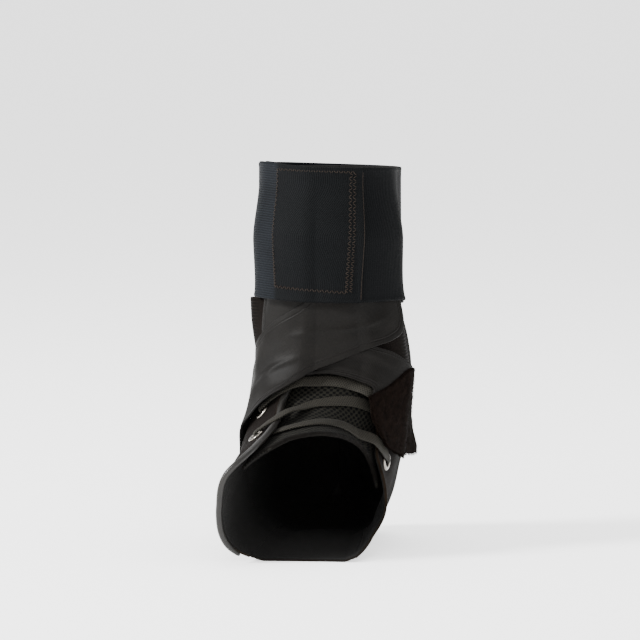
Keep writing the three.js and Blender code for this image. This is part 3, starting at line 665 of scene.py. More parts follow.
def put_sweep(
    name: str,
    path: Array,
    up: Array,
    width: Array,
    height: Array,
    materials: list[bpy.types.Material],
    sides: int = 16,
    square: float = 2.0,
) -> bpy.types.Object:
    """Carry a superellipse along a path and close its ends with domes.

    The section's points are (w/2 * sgn(cos a) |cos a|^(2/square), h/2 * sgn(sin a) |sin a|^(2/square))
    in the plane of the path's side and up vectors.

    Args:
        name: The piece's name.
        path: Points of the middle line.
        up: Unit vectors that the section's height follows.
        width: Width at each point.
        height: Height at each point.
        materials: The finishes.
        sides: Points round the section.
        square: Roundness of the section, 2 for an ellipse and more for a box.

    Returns:
        The new object.
    """
    tangent = unit(np.gradient(path, axis=0))
    side = unit(np.cross(tangent, up))
    over = np.cross(side, tangent)
    angle = np.linspace(0, 2 * np.pi, sides, endpoint=False)
    c, n = np.cos(angle), np.sin(angle)
    cx = np.sign(c) * np.abs(c) ** (2 / square) / 2
    cy = np.sign(n) * np.abs(n) ** (2 / square) / 2
    dome = np.array([0.05, 0.45, 0.8])
    push = np.array([1.0, 0.85, 0.5])
    reach = height[[0, -1]] / 2
    head = path[0] - tangent[0] * reach[0] * push[:, None]
    tail = path[-1] + tangent[-1] * reach[1] * push[::-1, None]
    path = np.concatenate([head, path, tail])
    pad = (len(dome), len(dome))
    side = np.pad(side, (pad, (0, 0)), mode="edge")
    over = np.pad(over, (pad, (0, 0)), mode="edge")
    scale = np.concatenate([dome, np.ones(len(width)), dome[::-1]])
    width = np.pad(width, pad, mode="edge") * scale
    height = np.pad(height, pad, mode="edge") * scale
    rings = (
        path[:, None, :]
        + side[:, None, :] * (width[:, None] * cx)[..., None]
        + over[:, None, :] * (height[:, None] * cy)[..., None]
    )
    count = len(path)
    closed = np.concatenate([rings, rings[:, :1]], axis=1)
    around = lengths_along(closed, 1)
    run = lengths_along(path[None], 1)[0]
    k = np.arange(count * sides).reshape(count, sides)
    after = np.roll(k, -1, axis=1)
    quads = np.stack([k[:-1], after[:-1], after[1:], k[1:]], axis=-1).reshape(-1, 4)
    last = count * sides
    points = np.concatenate([rings.reshape(-1, 3), path[:1], path[-1:]])
    first_fan = np.stack([np.full(sides, last), after[0], k[0]], axis=-1)
    last_fan = np.stack([np.full(sides, last + 1), k[-1], after[-1]], axis=-1)
    runs = np.broadcast_to(run[:, None], (count, sides))
    uv = np.stack([around[:, :-1] - around[:, -1:] / 2, runs], axis=-1)
    uv = np.concatenate([uv.reshape(-1, 2), [[0, run[0]], [0, run[-1]]]])
    piece = put_mesh(name, points, [quads, first_fan, last_fan], materials, uv)
    face_outwards(piece)
    return piece


def face_outwards(piece: bpy.types.Object) -> None:
    """Merge a closed mesh's doubles and turn its faces outwards."""
    work = bmesh.new()
    work.from_mesh(piece.data)
    bmesh.ops.remove_doubles(work, verts=work.verts, dist=1e-6)
    bmesh.ops.recalc_face_normals(work, faces=work.faces)
    work.to_mesh(piece.data)
    work.free()


def put_stitches(
    name: str, starts: Array, ends: Array, up: Array, radius: float, material: bpy.types.Material
) -> bpy.types.Object:
    """Make one small thread from each start to each end, arched and pulled in at both ends.

    Each thread is five rings of six points. Its middle line rises from 0.9 radii below the points
    to 0.4 above them, and its radius follows 0.35 + 0.65 sin(pi * share).

    Args:
        name: The piece's name.
        starts: First point of each thread.
        ends: Last point of each thread.
        up: The way in which each thread arches.
        radius: Greatest radius of a thread.
        material: The finish.

    Returns:
        One object with every thread.
    """
    share = np.array([0.0, 0.2, 0.5, 0.8, 1.0])
    size = radius * (0.35 + 0.65 * np.sin(np.pi * share))
    rise = radius * (1.3 * np.sin(np.pi * share) - 0.9)
    angle = np.linspace(0, 2 * np.pi, 6, endpoint=False)
    tangent = unit(ends - starts)
    side = unit(np.cross(tangent, up))
    over = np.cross(side, tangent)
    line = starts[:, None, :] + (ends - starts)[:, None, :] * share[None, :, None]
    line = line + over[:, None, :] * rise[None, :, None]
    ring = side[:, None, None, :] * np.cos(angle)[:, None] + over[:, None, None, :] * np.sin(angle)[:, None]
    points = line[:, :, None, :] + ring * size[None, :, None, None]
    count = len(starts)
    k = np.arange(count * 30).reshape(count, 5, 6)
    after = np.roll(k, -1, axis=2)
    quads = np.stack([k[:, :-1], k[:, 1:], after[:, 1:], after[:, :-1]], axis=-1).reshape(-1, 4)
    return put_mesh(name, points.reshape(-1, 3), [quads, k[:, 0], k[:, -1, ::-1]], [material])


def linear(code: str) -> tuple[float, float, float, float]:
    """Return an sRGB hex colour such as #22262b as linear red, green, blue and an alpha of 1."""
    channels = (int(code[k:k + 2], 16) / 255 for k in (1, 3, 5))
    red, green, blue = (c / 12.92 if c <= 0.04045 else ((c + 0.055) / 1.055) ** 2.4 for c in channels)
    return red, green, blue, 1.0


def add(
    tree: bpy.types.NodeTree, kind: str, inputs: dict | None = None, **settings: object
) -> bpy.types.Node:
    """Add a node, set its settings, and set or link each of its inputs.

    Args:
        tree: The tree that the node goes into.
        kind: The node's type name.
        inputs: A value or an output for each input by its name or number.
        settings: The node's own properties.

    Returns:
        The new node.
    """
    made = tree.nodes.new(kind)
    for label, value in settings.items():
        setattr(made, label, value)
    for label, value in (inputs or {}).items():
        if isinstance(value, Socket):
            tree.links.new(value, made.inputs[label])
        else:
            made.inputs[label].default_value = value
    return made


def shader(name: str, gloss: float = 0.5) -> tuple[bpy.types.Material, bpy.types.NodeTree, bpy.types.Node]:
    """Return a new material, its tree and its Principled shader.

    Args:
        name: The material's name.
        gloss: Specular level, 0.5 for a plain dielectric.

    Returns:
        The three.
    """
    material = bpy.data.materials.new(name)
    material.use_nodes = True
    principled = material.node_tree.nodes["Principled BSDF"]
    principled.inputs["Specular IOR Level"].default_value = gloss
    return material, material.node_tree, principled


def cover(
    tree: bpy.types.NodeTree,
    principled: bpy.types.Node,
    colour: Socket,
    height: Socket,
    deep_mm: float,
    rough: float,
) -> None:
    """Give a finish its colour, its relief and its roughness.

    Args:
        tree: The finish's tree.
        principled: Its shader.
        colour: Colour at each point.
        height: Height at each point, about 0 to 1.
        deep_mm: Real height of the relief.
        rough: Roughness all over.
    """
    relief = add(tree, "ShaderNodeBump", {"Height": height, "Strength": 1.0, "Distance": deep_mm * MM})
    tree.links.new(colour, principled.inputs["Base Color"])
    tree.links.new(relief.outputs["Normal"], principled.inputs["Normal"])
    principled.inputs["Roughness"].default_value = rough


class Axis(Enum):
    """Direction across which ribs repeat."""

    ACROSS = "X"
    ALONG = "Y"
    UP = "Z"


def rib_scale(pitch_mm: float) -> float:
    """Return the scale at which a wave texture has ribs at a real pitch, pi / (10 pitch)."""
    return math.pi / (10 * pitch_mm * MM)


@dataclass(frozen=True)
class WovenCloth:
    """Woven polyamide cloth: satin or matt, with a fine plain weave and slight uneven dye.

    The weave is drawn at thread_mm, coarser than the real 0.3 mm thread, so that it shows.
    """

    name: str
    light: str
    dark: str
    roughness: float = 0.62
    sheen: float = 0.25
    thread_mm: float = 0.9
    relief_mm: float = 0.05
    slant: float = 0.0
    gloss: float = 0.078

    def build(self) -> bpy.types.Material:
        """Return the material."""
        material, tree, principled = shader(self.name, self.gloss)
        at = add(tree, "ShaderNodeTexCoord").outputs["UV"]
        turned = add(
            tree, "ShaderNodeMapping", {"Vector": at, "Rotation": (0, 0, self.slant)}).outputs["Vector"]
        warp, weft = (
            add(tree, "ShaderNodeTexWave", {"Vector": turned, "Scale": rib_scale(self.thread_mm)},
                bands_direction=axis.value).outputs["Fac"]
            for axis in (Axis.ACROSS, Axis.ALONG)
        )
        weave = add(tree, "ShaderNodeMath", {0: warp, 1: weft}, operation="MULTIPLY").outputs[0]
        dye = add(tree, "ShaderNodeTexNoise", {"Vector": at, "Scale": 45.0, "Detail": 5.0, "Roughness": 0.6})
        specks = add(tree, "ShaderNodeTexNoise", {"Vector": at, "Scale": 900.0, "Detail": 2.0}).outputs["Fac"]
        tone = add(tree, "ShaderNodeMath", {0: dye.outputs["Fac"], 1: specks}, operation="ADD").outputs[0]
        share = add(tree, "ShaderNodeMapRange", {"Value": tone, "From Min": 0.72, "From Max": 1.28})
        shade = add(tree, "ShaderNodeMix", {
            "Factor": share.outputs["Result"], "A": linear(self.dark), "B": linear(self.light)},
            data_type="RGBA")
        threads = add(tree, "ShaderNodeMapRange", {"Value": weave, "To Min": 0.86, "To Max": 1.08})
        colour = add(tree, "ShaderNodeMix", {
            "Factor": 1.0, "A": shade.outputs["Result"], "B": threads.outputs["Result"]},
            data_type="RGBA", blend_type="MULTIPLY")
        fine = add(tree, "ShaderNodeMath", {0: specks, 1: 0.5}, operation="MULTIPLY").outputs[0]
        height = add(tree, "ShaderNodeMath", {0: weave, 1: fine}, operation="ADD").outputs[0]
        cover(tree, principled, colour.outputs["Result"], height, self.relief_mm, self.roughness)
        principled.inputs["Sheen Weight"].default_value = self.sheen
        principled.inputs["Sheen Roughness"].default_value = 0.45
        return material


@dataclass(frozen=True)
class SpacerMesh:
    """Knitted polyester spacer mesh: open holes in staggered rows between lighter threads, the holes painted
    near black as the shade inside them.

    Holes sit where cos(2 pi u / p) cos(2 pi v / p) is high, which staggers them by half a pitch.
    """

    name: str
    thread: str
    # Painted shade colour of the holes
    shaded_hole: str
    pitch_mm: float = 3.5
    relief_mm: float = 0.9

    def build(self) -> bpy.types.Material:
        """Return the material."""
        material, tree, principled = shader(self.name, 0.08)
        at = add(tree, "ShaderNodeTexCoord").outputs["UV"]
        parts = add(tree, "ShaderNodeSeparateXYZ", {"Vector": at}).outputs
        turns = 2 * math.pi / (self.pitch_mm * MM)
        cosines = []
        for axis in (Axis.ACROSS, Axis.ALONG):
            angle = add(
                tree, "ShaderNodeMath", {0: parts[axis.value], 1: turns}, operation="MULTIPLY").outputs[0]
            cosines.append(add(tree, "ShaderNodeMath", {0: angle}, operation="COSINE").outputs[0])
        rows = add(tree, "ShaderNodeMath", {0: cosines[0], 1: cosines[1]}, operation="MULTIPLY").outputs[0]
        fuzz = add(tree, "ShaderNodeTexNoise", {"Vector": at, "Scale": 700.0, "Detail": 3.0}).outputs["Fac"]
        ragged = add(tree, "ShaderNodeMath", {0: fuzz, 1: 0.5, 2: rows}, operation="MULTIPLY_ADD").outputs[0]
        # Painted shade: the holes take a near black colour for the shadow inside the mesh
        shaded_hole = add(tree, "ShaderNodeMapRange", {
            "Value": ragged, "From Min": 0.22, "From Max": 0.46},
            interpolation_type="SMOOTHSTEP").outputs["Result"]
        colour = add(tree, "ShaderNodeMix", {
            "Factor": shaded_hole, "A": linear(self.thread), "B": linear(self.shaded_hole)}, data_type="RGBA")
        strands = add(tree, "ShaderNodeMath", {0: fuzz, 1: 0.25}, operation="MULTIPLY").outputs[0]
        height = add(tree, "ShaderNodeMath", {0: strands, 1: shaded_hole}, operation="SUBTRACT").outputs[0]
        cover(tree, principled, colour.outputs["Result"], height, self.relief_mm, 0.9)
        principled.inputs["Sheen Weight"].default_value = 0.01
        return material


@dataclass(frozen=True)
class FlatBraid:
    """Flat braided polyester cord: two sets of slanted ribs that cross like plaits."""

    name: str
    light: str
    dark: str
    slant: float = 0.62
    rib_mm: float = 1.15
    relief_mm: float = 0.14

    def build(self) -> bpy.types.Material:
        """Return the material."""
        material, tree, principled = shader(self.name, 0.08)
        at = add(tree, "ShaderNodeTexCoord").outputs["UV"]
        ribs = []
        for angle in (self.slant, -self.slant):
            turned = add(
                tree, "ShaderNodeMapping", {"Vector": at, "Rotation": (0, 0, angle)}).outputs["Vector"]
            ribs.append(add(
                tree, "ShaderNodeTexWave", {"Vector": turned, "Scale": rib_scale(self.rib_mm)},
                bands_direction=Axis.ALONG.value).outputs["Fac"])
        plait = add(tree, "ShaderNodeMath", {0: ribs[0], 1: ribs[1]}, operation="MAXIMUM").outputs[0]
        fuzz = add(tree, "ShaderNodeTexNoise", {"Vector": at, "Scale": 1200.0, "Detail": 3.0}).outputs["Fac"]
        tone = add(tree, "ShaderNodeMath", {0: fuzz, 1: 0.7, 2: plait}, operation="MULTIPLY_ADD").outputs[0]
        share = add(tree, "ShaderNodeMapRange", {"Value": tone, "From Min": 0.75, "From Max": 1.4})
        colour = add(tree, "ShaderNodeMix", {
            "Factor": share.outputs["Result"], "A": linear(self.dark), "B": linear(self.light)},
            data_type="RGBA")
        cover(tree, principled, colour.outputs["Result"], tone, self.relief_mm, 0.62)
        principled.inputs["Sheen Weight"].default_value = 0.02
        principled.inputs["Sheen Roughness"].default_value = 0.4
        return material


@dataclass(frozen=True)
class RibbedElastic:
    """Woven elastic: covered rubber cords give fine ribs; upright ones where it is sewn double.

    The piece's number that marks the sewn end is 0 on the free band and 1 on the sewn end and on the turn
    under it; there the colour goes to a darker tone, partly the band's own and partly painted shade.
    """

    name: str
    light: str
    dark: str
    shaded_sewn_tone: str
    # Darker tone of the sewn end and the under turn: partly the band's own colour, partly painted shade
    rib_mm: float = 1.3
    relief_mm: float = 0.14

    def build(self) -> bpy.types.Material:
        """Return the material."""
        material, tree, principled = shader(self.name, 0.062)
        at = add(tree, "ShaderNodeTexCoord").outputs["UV"]
        sewn = add(tree, "ShaderNodeAttribute", attribute_name="sewn").outputs["Fac"]
        level, upright = (
            add(tree, "ShaderNodeTexWave", {"Vector": at, "Scale": rib_scale(pitch)},
                bands_direction=axis.value).outputs["Fac"]
            for axis, pitch in ((Axis.ACROSS, self.rib_mm), (Axis.ALONG, self.rib_mm * 0.9))
        )
        net = add(
            tree, "ShaderNodeMath", {0: upright, 1: 0.45, 2: level}, operation="MULTIPLY_ADD").outputs[0]
        strong = add(
            tree, "ShaderNodeMath", {0: level, 1: 0.2, 2: upright}, operation="MULTIPLY_ADD").outputs[0]
        ribs = add(tree, "ShaderNodeMix", {"Factor": sewn, "A": net, "B": strong}, data_type="FLOAT")
        grain = add(tree, "ShaderNodeTexNoise", {"Vector": at, "Scale": 700.0, "Detail": 4.0}).outputs["Fac"]
        cloud = add(tree, "ShaderNodeTexNoise", {"Vector": at, "Scale": 38.0, "Detail": 4.0}).outputs["Fac"]
        height = add(tree, "ShaderNodeMath", {
            0: grain, 1: 0.5, 2: ribs.outputs["Result"]}, operation="MULTIPLY_ADD").outputs[0]
        tone = add(tree, "ShaderNodeMath", {0: cloud, 1: 1.3, 2: height}, operation="MULTIPLY_ADD").outputs[0]
        share = add(
            tree, "ShaderNodeMapRange",
            {"Value": tone, "From Min": 0.85, "From Max": 2.2}).outputs["Result"]
        band = add(tree, "ShaderNodeMix", {
            "Factor": share, "A": linear(self.dark), "B": linear(self.light)}, data_type="RGBA")
        # Painted shade in part: the sewn end and the under turn take the darker tone
        end = add(tree, "ShaderNodeMix", {
            "Factor": share, "A": linear(self.dark), "B": linear(self.shaded_sewn_tone)}, data_type="RGBA")
        colour = add(tree, "ShaderNodeMix", {
            "Factor": sewn, "A": band.outputs["Result"], "B": end.outputs["Result"]}, data_type="RGBA")
        cover(tree, principled, colour.outputs["Result"], height, self.relief_mm, 0.7)
        return material


@dataclass(frozen=True)
class PaddedCloth:
    """Brushed knit laminated to foam: matt, dimpled by the knit's fine mesh, rubbed brown at the edges.

    The piece's number named ribbed is 1 where short cross ribs show, and worn is 1 at rubbed edges.
    The ribs are drawn at rib_mm, coarser than the real 1 mm, so that they show.
    """

    name: str
    light: str
    dark: str
    rubbed: str
    dimple_mm: float = 1.3
    rib_mm: float = 1.8
    relief_mm: float = 0.28

    def build(self) -> bpy.types.Material:
        """Return the material."""
        material, tree, principled = shader(self.name, 0.05)
        places = add(tree, "ShaderNodeTexCoord").outputs
        at = places["UV"]
        ribbed = add(tree, "ShaderNodeAttribute", attribute_name="ribbed").outputs["Fac"]
        worn = add(tree, "ShaderNodeAttribute", attribute_name="worn").outputs["Fac"]
        cells = add(tree, "ShaderNodeTexVoronoi", {
            "Vector": at, "Scale": 1 / (self.dimple_mm * MM), "Randomness": 0.35}).outputs["Distance"]
        ribs = add(tree, "ShaderNodeTexWave", {
            "Vector": places["Object"], "Scale": rib_scale(self.rib_mm)},
            bands_direction=Axis.UP.value).outputs["Fac"]
        fuzz = add(tree, "ShaderNodeTexNoise", {"Vector": at, "Scale": 900.0, "Detail": 3.0}).outputs["Fac"]
        cloud = add(tree, "ShaderNodeTexNoise", {"Vector": at, "Scale": 60.0, "Detail": 5.0}).outputs["Fac"]
        knit = add(tree, "ShaderNodeMath", {0: fuzz, 1: 0.6, 2: cells}, operation="MULTIPLY_ADD").outputs[0]
        height = add(tree, "ShaderNodeMix", {
            "Factor": ribbed, "A": knit, "B": ribs}, data_type="FLOAT").outputs["Result"]
        tone = add(tree, "ShaderNodeMath", {0: cloud, 1: 1.1, 2: height}, operation="MULTIPLY_ADD").outputs[0]
        share = add(tree, "ShaderNodeMapRange", {"Value": tone, "From Min": 0.6, "From Max": 1.7})
        plain = add(tree, "ShaderNodeMix", {
            "Factor": share.outputs["Result"], "A": linear(self.dark), "B": linear(self.light)},
            data_type="RGBA")
        colour = add(tree, "ShaderNodeMix", {
            "Factor": worn, "A": plain.outputs["Result"], "B": linear(self.rubbed)}, data_type="RGBA")
        cover(tree, principled, colour.outputs["Result"], height, self.relief_mm, 0.88)
        return material


@dataclass(frozen=True)
class BrushedPile:
    """Brushed pile: fibres that catch the light in soft streaks, streak times as long as wide."""

    name: str
    light: str
    dark: str
    grain_mm: float = 0.6
    relief_mm: float = 0.18
    streak: float = 3.0
    gloss: float = 0.03
    sheen: float = 0.0

    def build(self) -> bpy.types.Material:
        """Return the material."""
        material, tree, principled = shader(self.name, self.gloss)
        at = add(tree, "ShaderNodeTexCoord").outputs["UV"]
        drawn = add(tree, "ShaderNodeMapping", {
            "Vector": at, "Scale": (self.streak, 1.0, 1.0)}).outputs["Vector"]
        scale = 1 / (self.grain_mm * MM * self.streak)
        fibres = add(tree, "ShaderNodeTexNoise", {
            "Vector": drawn, "Scale": scale, "Detail": 5.0, "Roughness": 0.65}).outputs["Fac"]
        tufts = add(tree, "ShaderNodeTexNoise", {"Vector": at, "Scale": 260.0, "Detail": 4.0}).outputs["Fac"]
        height = add(
            tree, "ShaderNodeMath", {0: tufts, 1: 0.8, 2: fibres}, operation="MULTIPLY_ADD").outputs[0]
        share = add(tree, "ShaderNodeMapRange", {"Value": height, "From Min": 0.7, "From Max": 1.15})
        colour = add(tree, "ShaderNodeMix", {
            "Factor": share.outputs["Result"], "A": linear(self.dark), "B": linear(self.light)},
            data_type="RGBA")
        cover(tree, principled, colour.outputs["Result"], height, self.relief_mm, 0.95)
        principled.inputs["Sheen Weight"].default_value = self.sheen
        principled.inputs["Sheen Roughness"].default_value = 0.6
        return material


@dataclass(frozen=True)
class RolledMetal:
    """Nickel-plated brass, pressed and rolled over: bright, with faint handling marks."""

    name: str
    colour: str
    roughness: float = 0.22

    def build(self) -> bpy.types.Material:
        """Return the material."""
        material, tree, principled = shader(self.name)
        at = add(tree, "ShaderNodeTexCoord").outputs["Object"]
        marks = add(tree, "ShaderNodeTexNoise", {"Vector": at, "Scale": 500.0, "Detail": 4.0}).outputs["Fac"]
        gloss = add(tree, "ShaderNodeMapRange", {
            "Value": marks, "From Min": 0.35, "From Max": 0.7,
            "To Min": self.roughness * 0.7, "To Max": self.roughness * 1.6}).outputs["Result"]
        tree.links.new(gloss, principled.inputs["Roughness"])
        principled.inputs["Base Color"].default_value = linear(self.colour)
        principled.inputs["Metallic"].default_value = 1.0
        return material


@dataclass(frozen=True)
class SpunThread:
    """Bonded polyester sewing thread: slightly glossy, twisted."""

    name: str
    colour: str

    def build(self) -> bpy.types.Material:
        """Return the material."""
        material, tree, principled = shader(self.name, 0.08)
        at = add(tree, "ShaderNodeTexCoord").outputs["Object"]
        tone = add(tree, "ShaderNodeTexNoise", {"Vector": at, "Scale": 900.0, "Detail": 2.0}).outputs["Fac"]
        dark = tuple(c * 0.6 for c in linear(self.colour)[:3]) + (1.0,)
        colour = add(
            tree, "ShaderNodeMix", {"Factor": tone, "A": dark, "B": linear(self.colour)}, data_type="RGBA")
        tree.links.new(colour.outputs["Result"], principled.inputs["Base Color"])
        principled.inputs["Roughness"].default_value = 0.55
        return material


@dataclass
class Wardrobe:
    """Every finish of the brace, built once."""

    # Thin coating over the weave: satin, so that folds carry long soft highlights
    strap: bpy.types.Material = field(default_factory=WovenCloth(
        "coated_polyamide_cloth", "#110f0d", "#0a0908", roughness=0.5, sheen=0.0, slant=0.5).build)
    # Bare side of the same cloth: matt
    strap_back: bpy.types.Material = field(default_factory=WovenCloth(
        "cloth_reverse", "#131211", "#0e0d0d", roughness=0.85, sheen=0.02).build)
    # Deep, warm black that swallows light, browner where it is rubbed
    shell: bpy.types.Material = field(default_factory=PaddedCloth(
        "brushed_knit_on_foam", "#120e0c", "#060504", "#1a130c").build)
    # Soft inside: matt and even
    lining: bpy.types.Material = field(default_factory=WovenCloth(
        "tricot_lining", "#161514", "#0f0f0e", roughness=0.9, sheen=0.02, thread_mm=1.2,
        relief_mm=0.08).build)
    # Open net: its holes are painted black as the shade within the mesh
    mesh: bpy.types.Material = field(default_factory=SpacerMesh(
        "polyester_spacer_mesh", "#191814", "#000000").build)
    # Frayed edge of the tongue: rough and uneven
    edge_tape: bpy.types.Material = field(default_factory=BrushedPile(
        "brushed_binding", "#12100e", "#050403", grain_mm=0.5, relief_mm=0.3, streak=1.0, gloss=0.05,
        sheen=0.01).build)
    # Greyest cloth of the brace, with a visible plait
    braid: bpy.types.Material = field(default_factory=FlatBraid(
        "flat_polyester_braid", "#2c2a25", "#0e0d0b").build)
    # Tape drawn tight round a core: the one cloth with a clear highlight
    roll: bpy.types.Material = field(default_factory=WovenCloth(
        "folded_edge_tape", "#1b1916", "#0f0e0c", roughness=0.36, gloss=0.3, sheen=0.0, thread_mm=0.8,
        slant=0.78).build)
    # Cool black with fine level ribs; the third tone paints the sewn end and the turn under it darker, partly
    # as painted shade
    elastic: bpy.types.Material = field(default_factory=RibbedElastic(
        "ribbed_woven_elastic", "#121519", "#030405", "#08090a").build)
    # Brown-black fur, the darkest piece
    pile: bpy.types.Material = field(default_factory=BrushedPile(
        "brushed_loop_pile", "#120c09", "#050302").build)
    # Stiff rough tape
    hooks: bpy.types.Material = field(default_factory=BrushedPile(
        "moulded_hook_tape", "#101010", "#060606", grain_mm=1.0, streak=1.0, gloss=0.05).build)
    # Small bright rings
    metal: bpy.types.Material = field(default_factory=RolledMetal("nickel_plated_brass", "#7d7871").build)
    # Warm lines that stand out on the cuff
    cuff_thread: bpy.types.Material = field(default_factory=SpunThread(
        "brown_bonded_thread", "#2c2520").build)
    # Lines that hardly show on the tape
    thread: bpy.types.Material = field(default_factory=SpunThread("charcoal_bonded_thread", "#201f1c").build)


def dress(piece: bpy.types.Object, slot: str, *nodes: str) -> None:
    """Ride a piece on the brace and let it stand for CAD nodes."""
    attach(piece, "root")
    if nodes:
        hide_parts(*nodes)
    LOG.info("%s: %d faces", piece.name, len(piece.data.polygons))


def patch_where(top: Border, bottom: Border, left: Border, right: Border) -> Where:
    """Return the places between four border lines, blended as a Coons patch.

    The place is (1-v) top + v bottom + (1-u) left + u right, less the corners' bilinear blend.

    Args:
        top: Places along the first end.
        bottom: Places along the last end.
        left: Places along the first side.
        right: Places along the second side.

    Returns:
        The places for two shares, u from left to right and v from top to bottom.
    """
    def where(u: Array, v: Array) -> tuple[Array, Array]:
        """Return along and turn at two shares."""
        start, stop = np.zeros(1), np.ones(1)
        uu, vv = u[..., None], v[..., None]
        ruled = (1 - vv) * top(u) + vv * bottom(u) + (1 - uu) * left(v) + uu * right(v)
        corners = (1 - vv) * ((1 - uu) * top(start) + uu * top(stop))
        corners = corners + vv * ((1 - uu) * bottom(start) + uu * bottom(stop))
        both = ruled - corners
        return both[..., 0], both[..., 1]

    return where


def strip_where(low: Line, high: Line, bow: float = 0.0) -> Where:
    """Return the places between two long edges.

    Args:
        low: Places along the first edge.
        high: Places along the second edge.
        bow: How far along the middle of the first end is drawn up.

    Returns:
        The places for two shares, u from low to high and v along them.
    """
    def where(u: Array, v: Array) -> tuple[Array, Array]:
        """Return along and turn at two shares."""
        both = mix(smooth_line(low, v), smooth_line(high, v), u[..., None])
        return both[..., 0] - bow * 4 * u * (1 - u) * (1 - v) ** 3, both[..., 1]

    return where


def distance_to(line: Line, x: Array, z: Array) -> tuple[Array, Array]:
    """Return the distance to a smooth line in the x-z plane, and the share along it."""
    shares = np.linspace(0, 1, 60)
    dense = smooth_line(line, shares)
    far = (x[..., None] - dense[:, 0]) ** 2 + (z[..., None] - dense[:, 1]) ** 2
    nearest = far.argmin(axis=-1)
    return np.sqrt(far.min(axis=-1)), shares[nearest]


@dataclass(frozen=True)
class Crease:
    """One soft fold: a line over the front in x and z, its height and its width, millimetres."""

    line: tuple[tuple[float, float], ...]
    height: float
    width: float

    def relief(self, cloth: Cloth) -> Array:
        """Return a ridge of bell shape that fades towards both ends of its line."""
        x, z = cloth.points[..., 0], cloth.points[..., 2]
        far, share = distance_to(list(self.line), x, z)
        fade = np.sin(np.pi * np.clip(share, 0.02, 0.98)) ** 0.6
        front = ramp(10, -15, cloth.points[..., 1])
        return self.height * np.exp(-((far / self.width) ** 2)) * fade * front


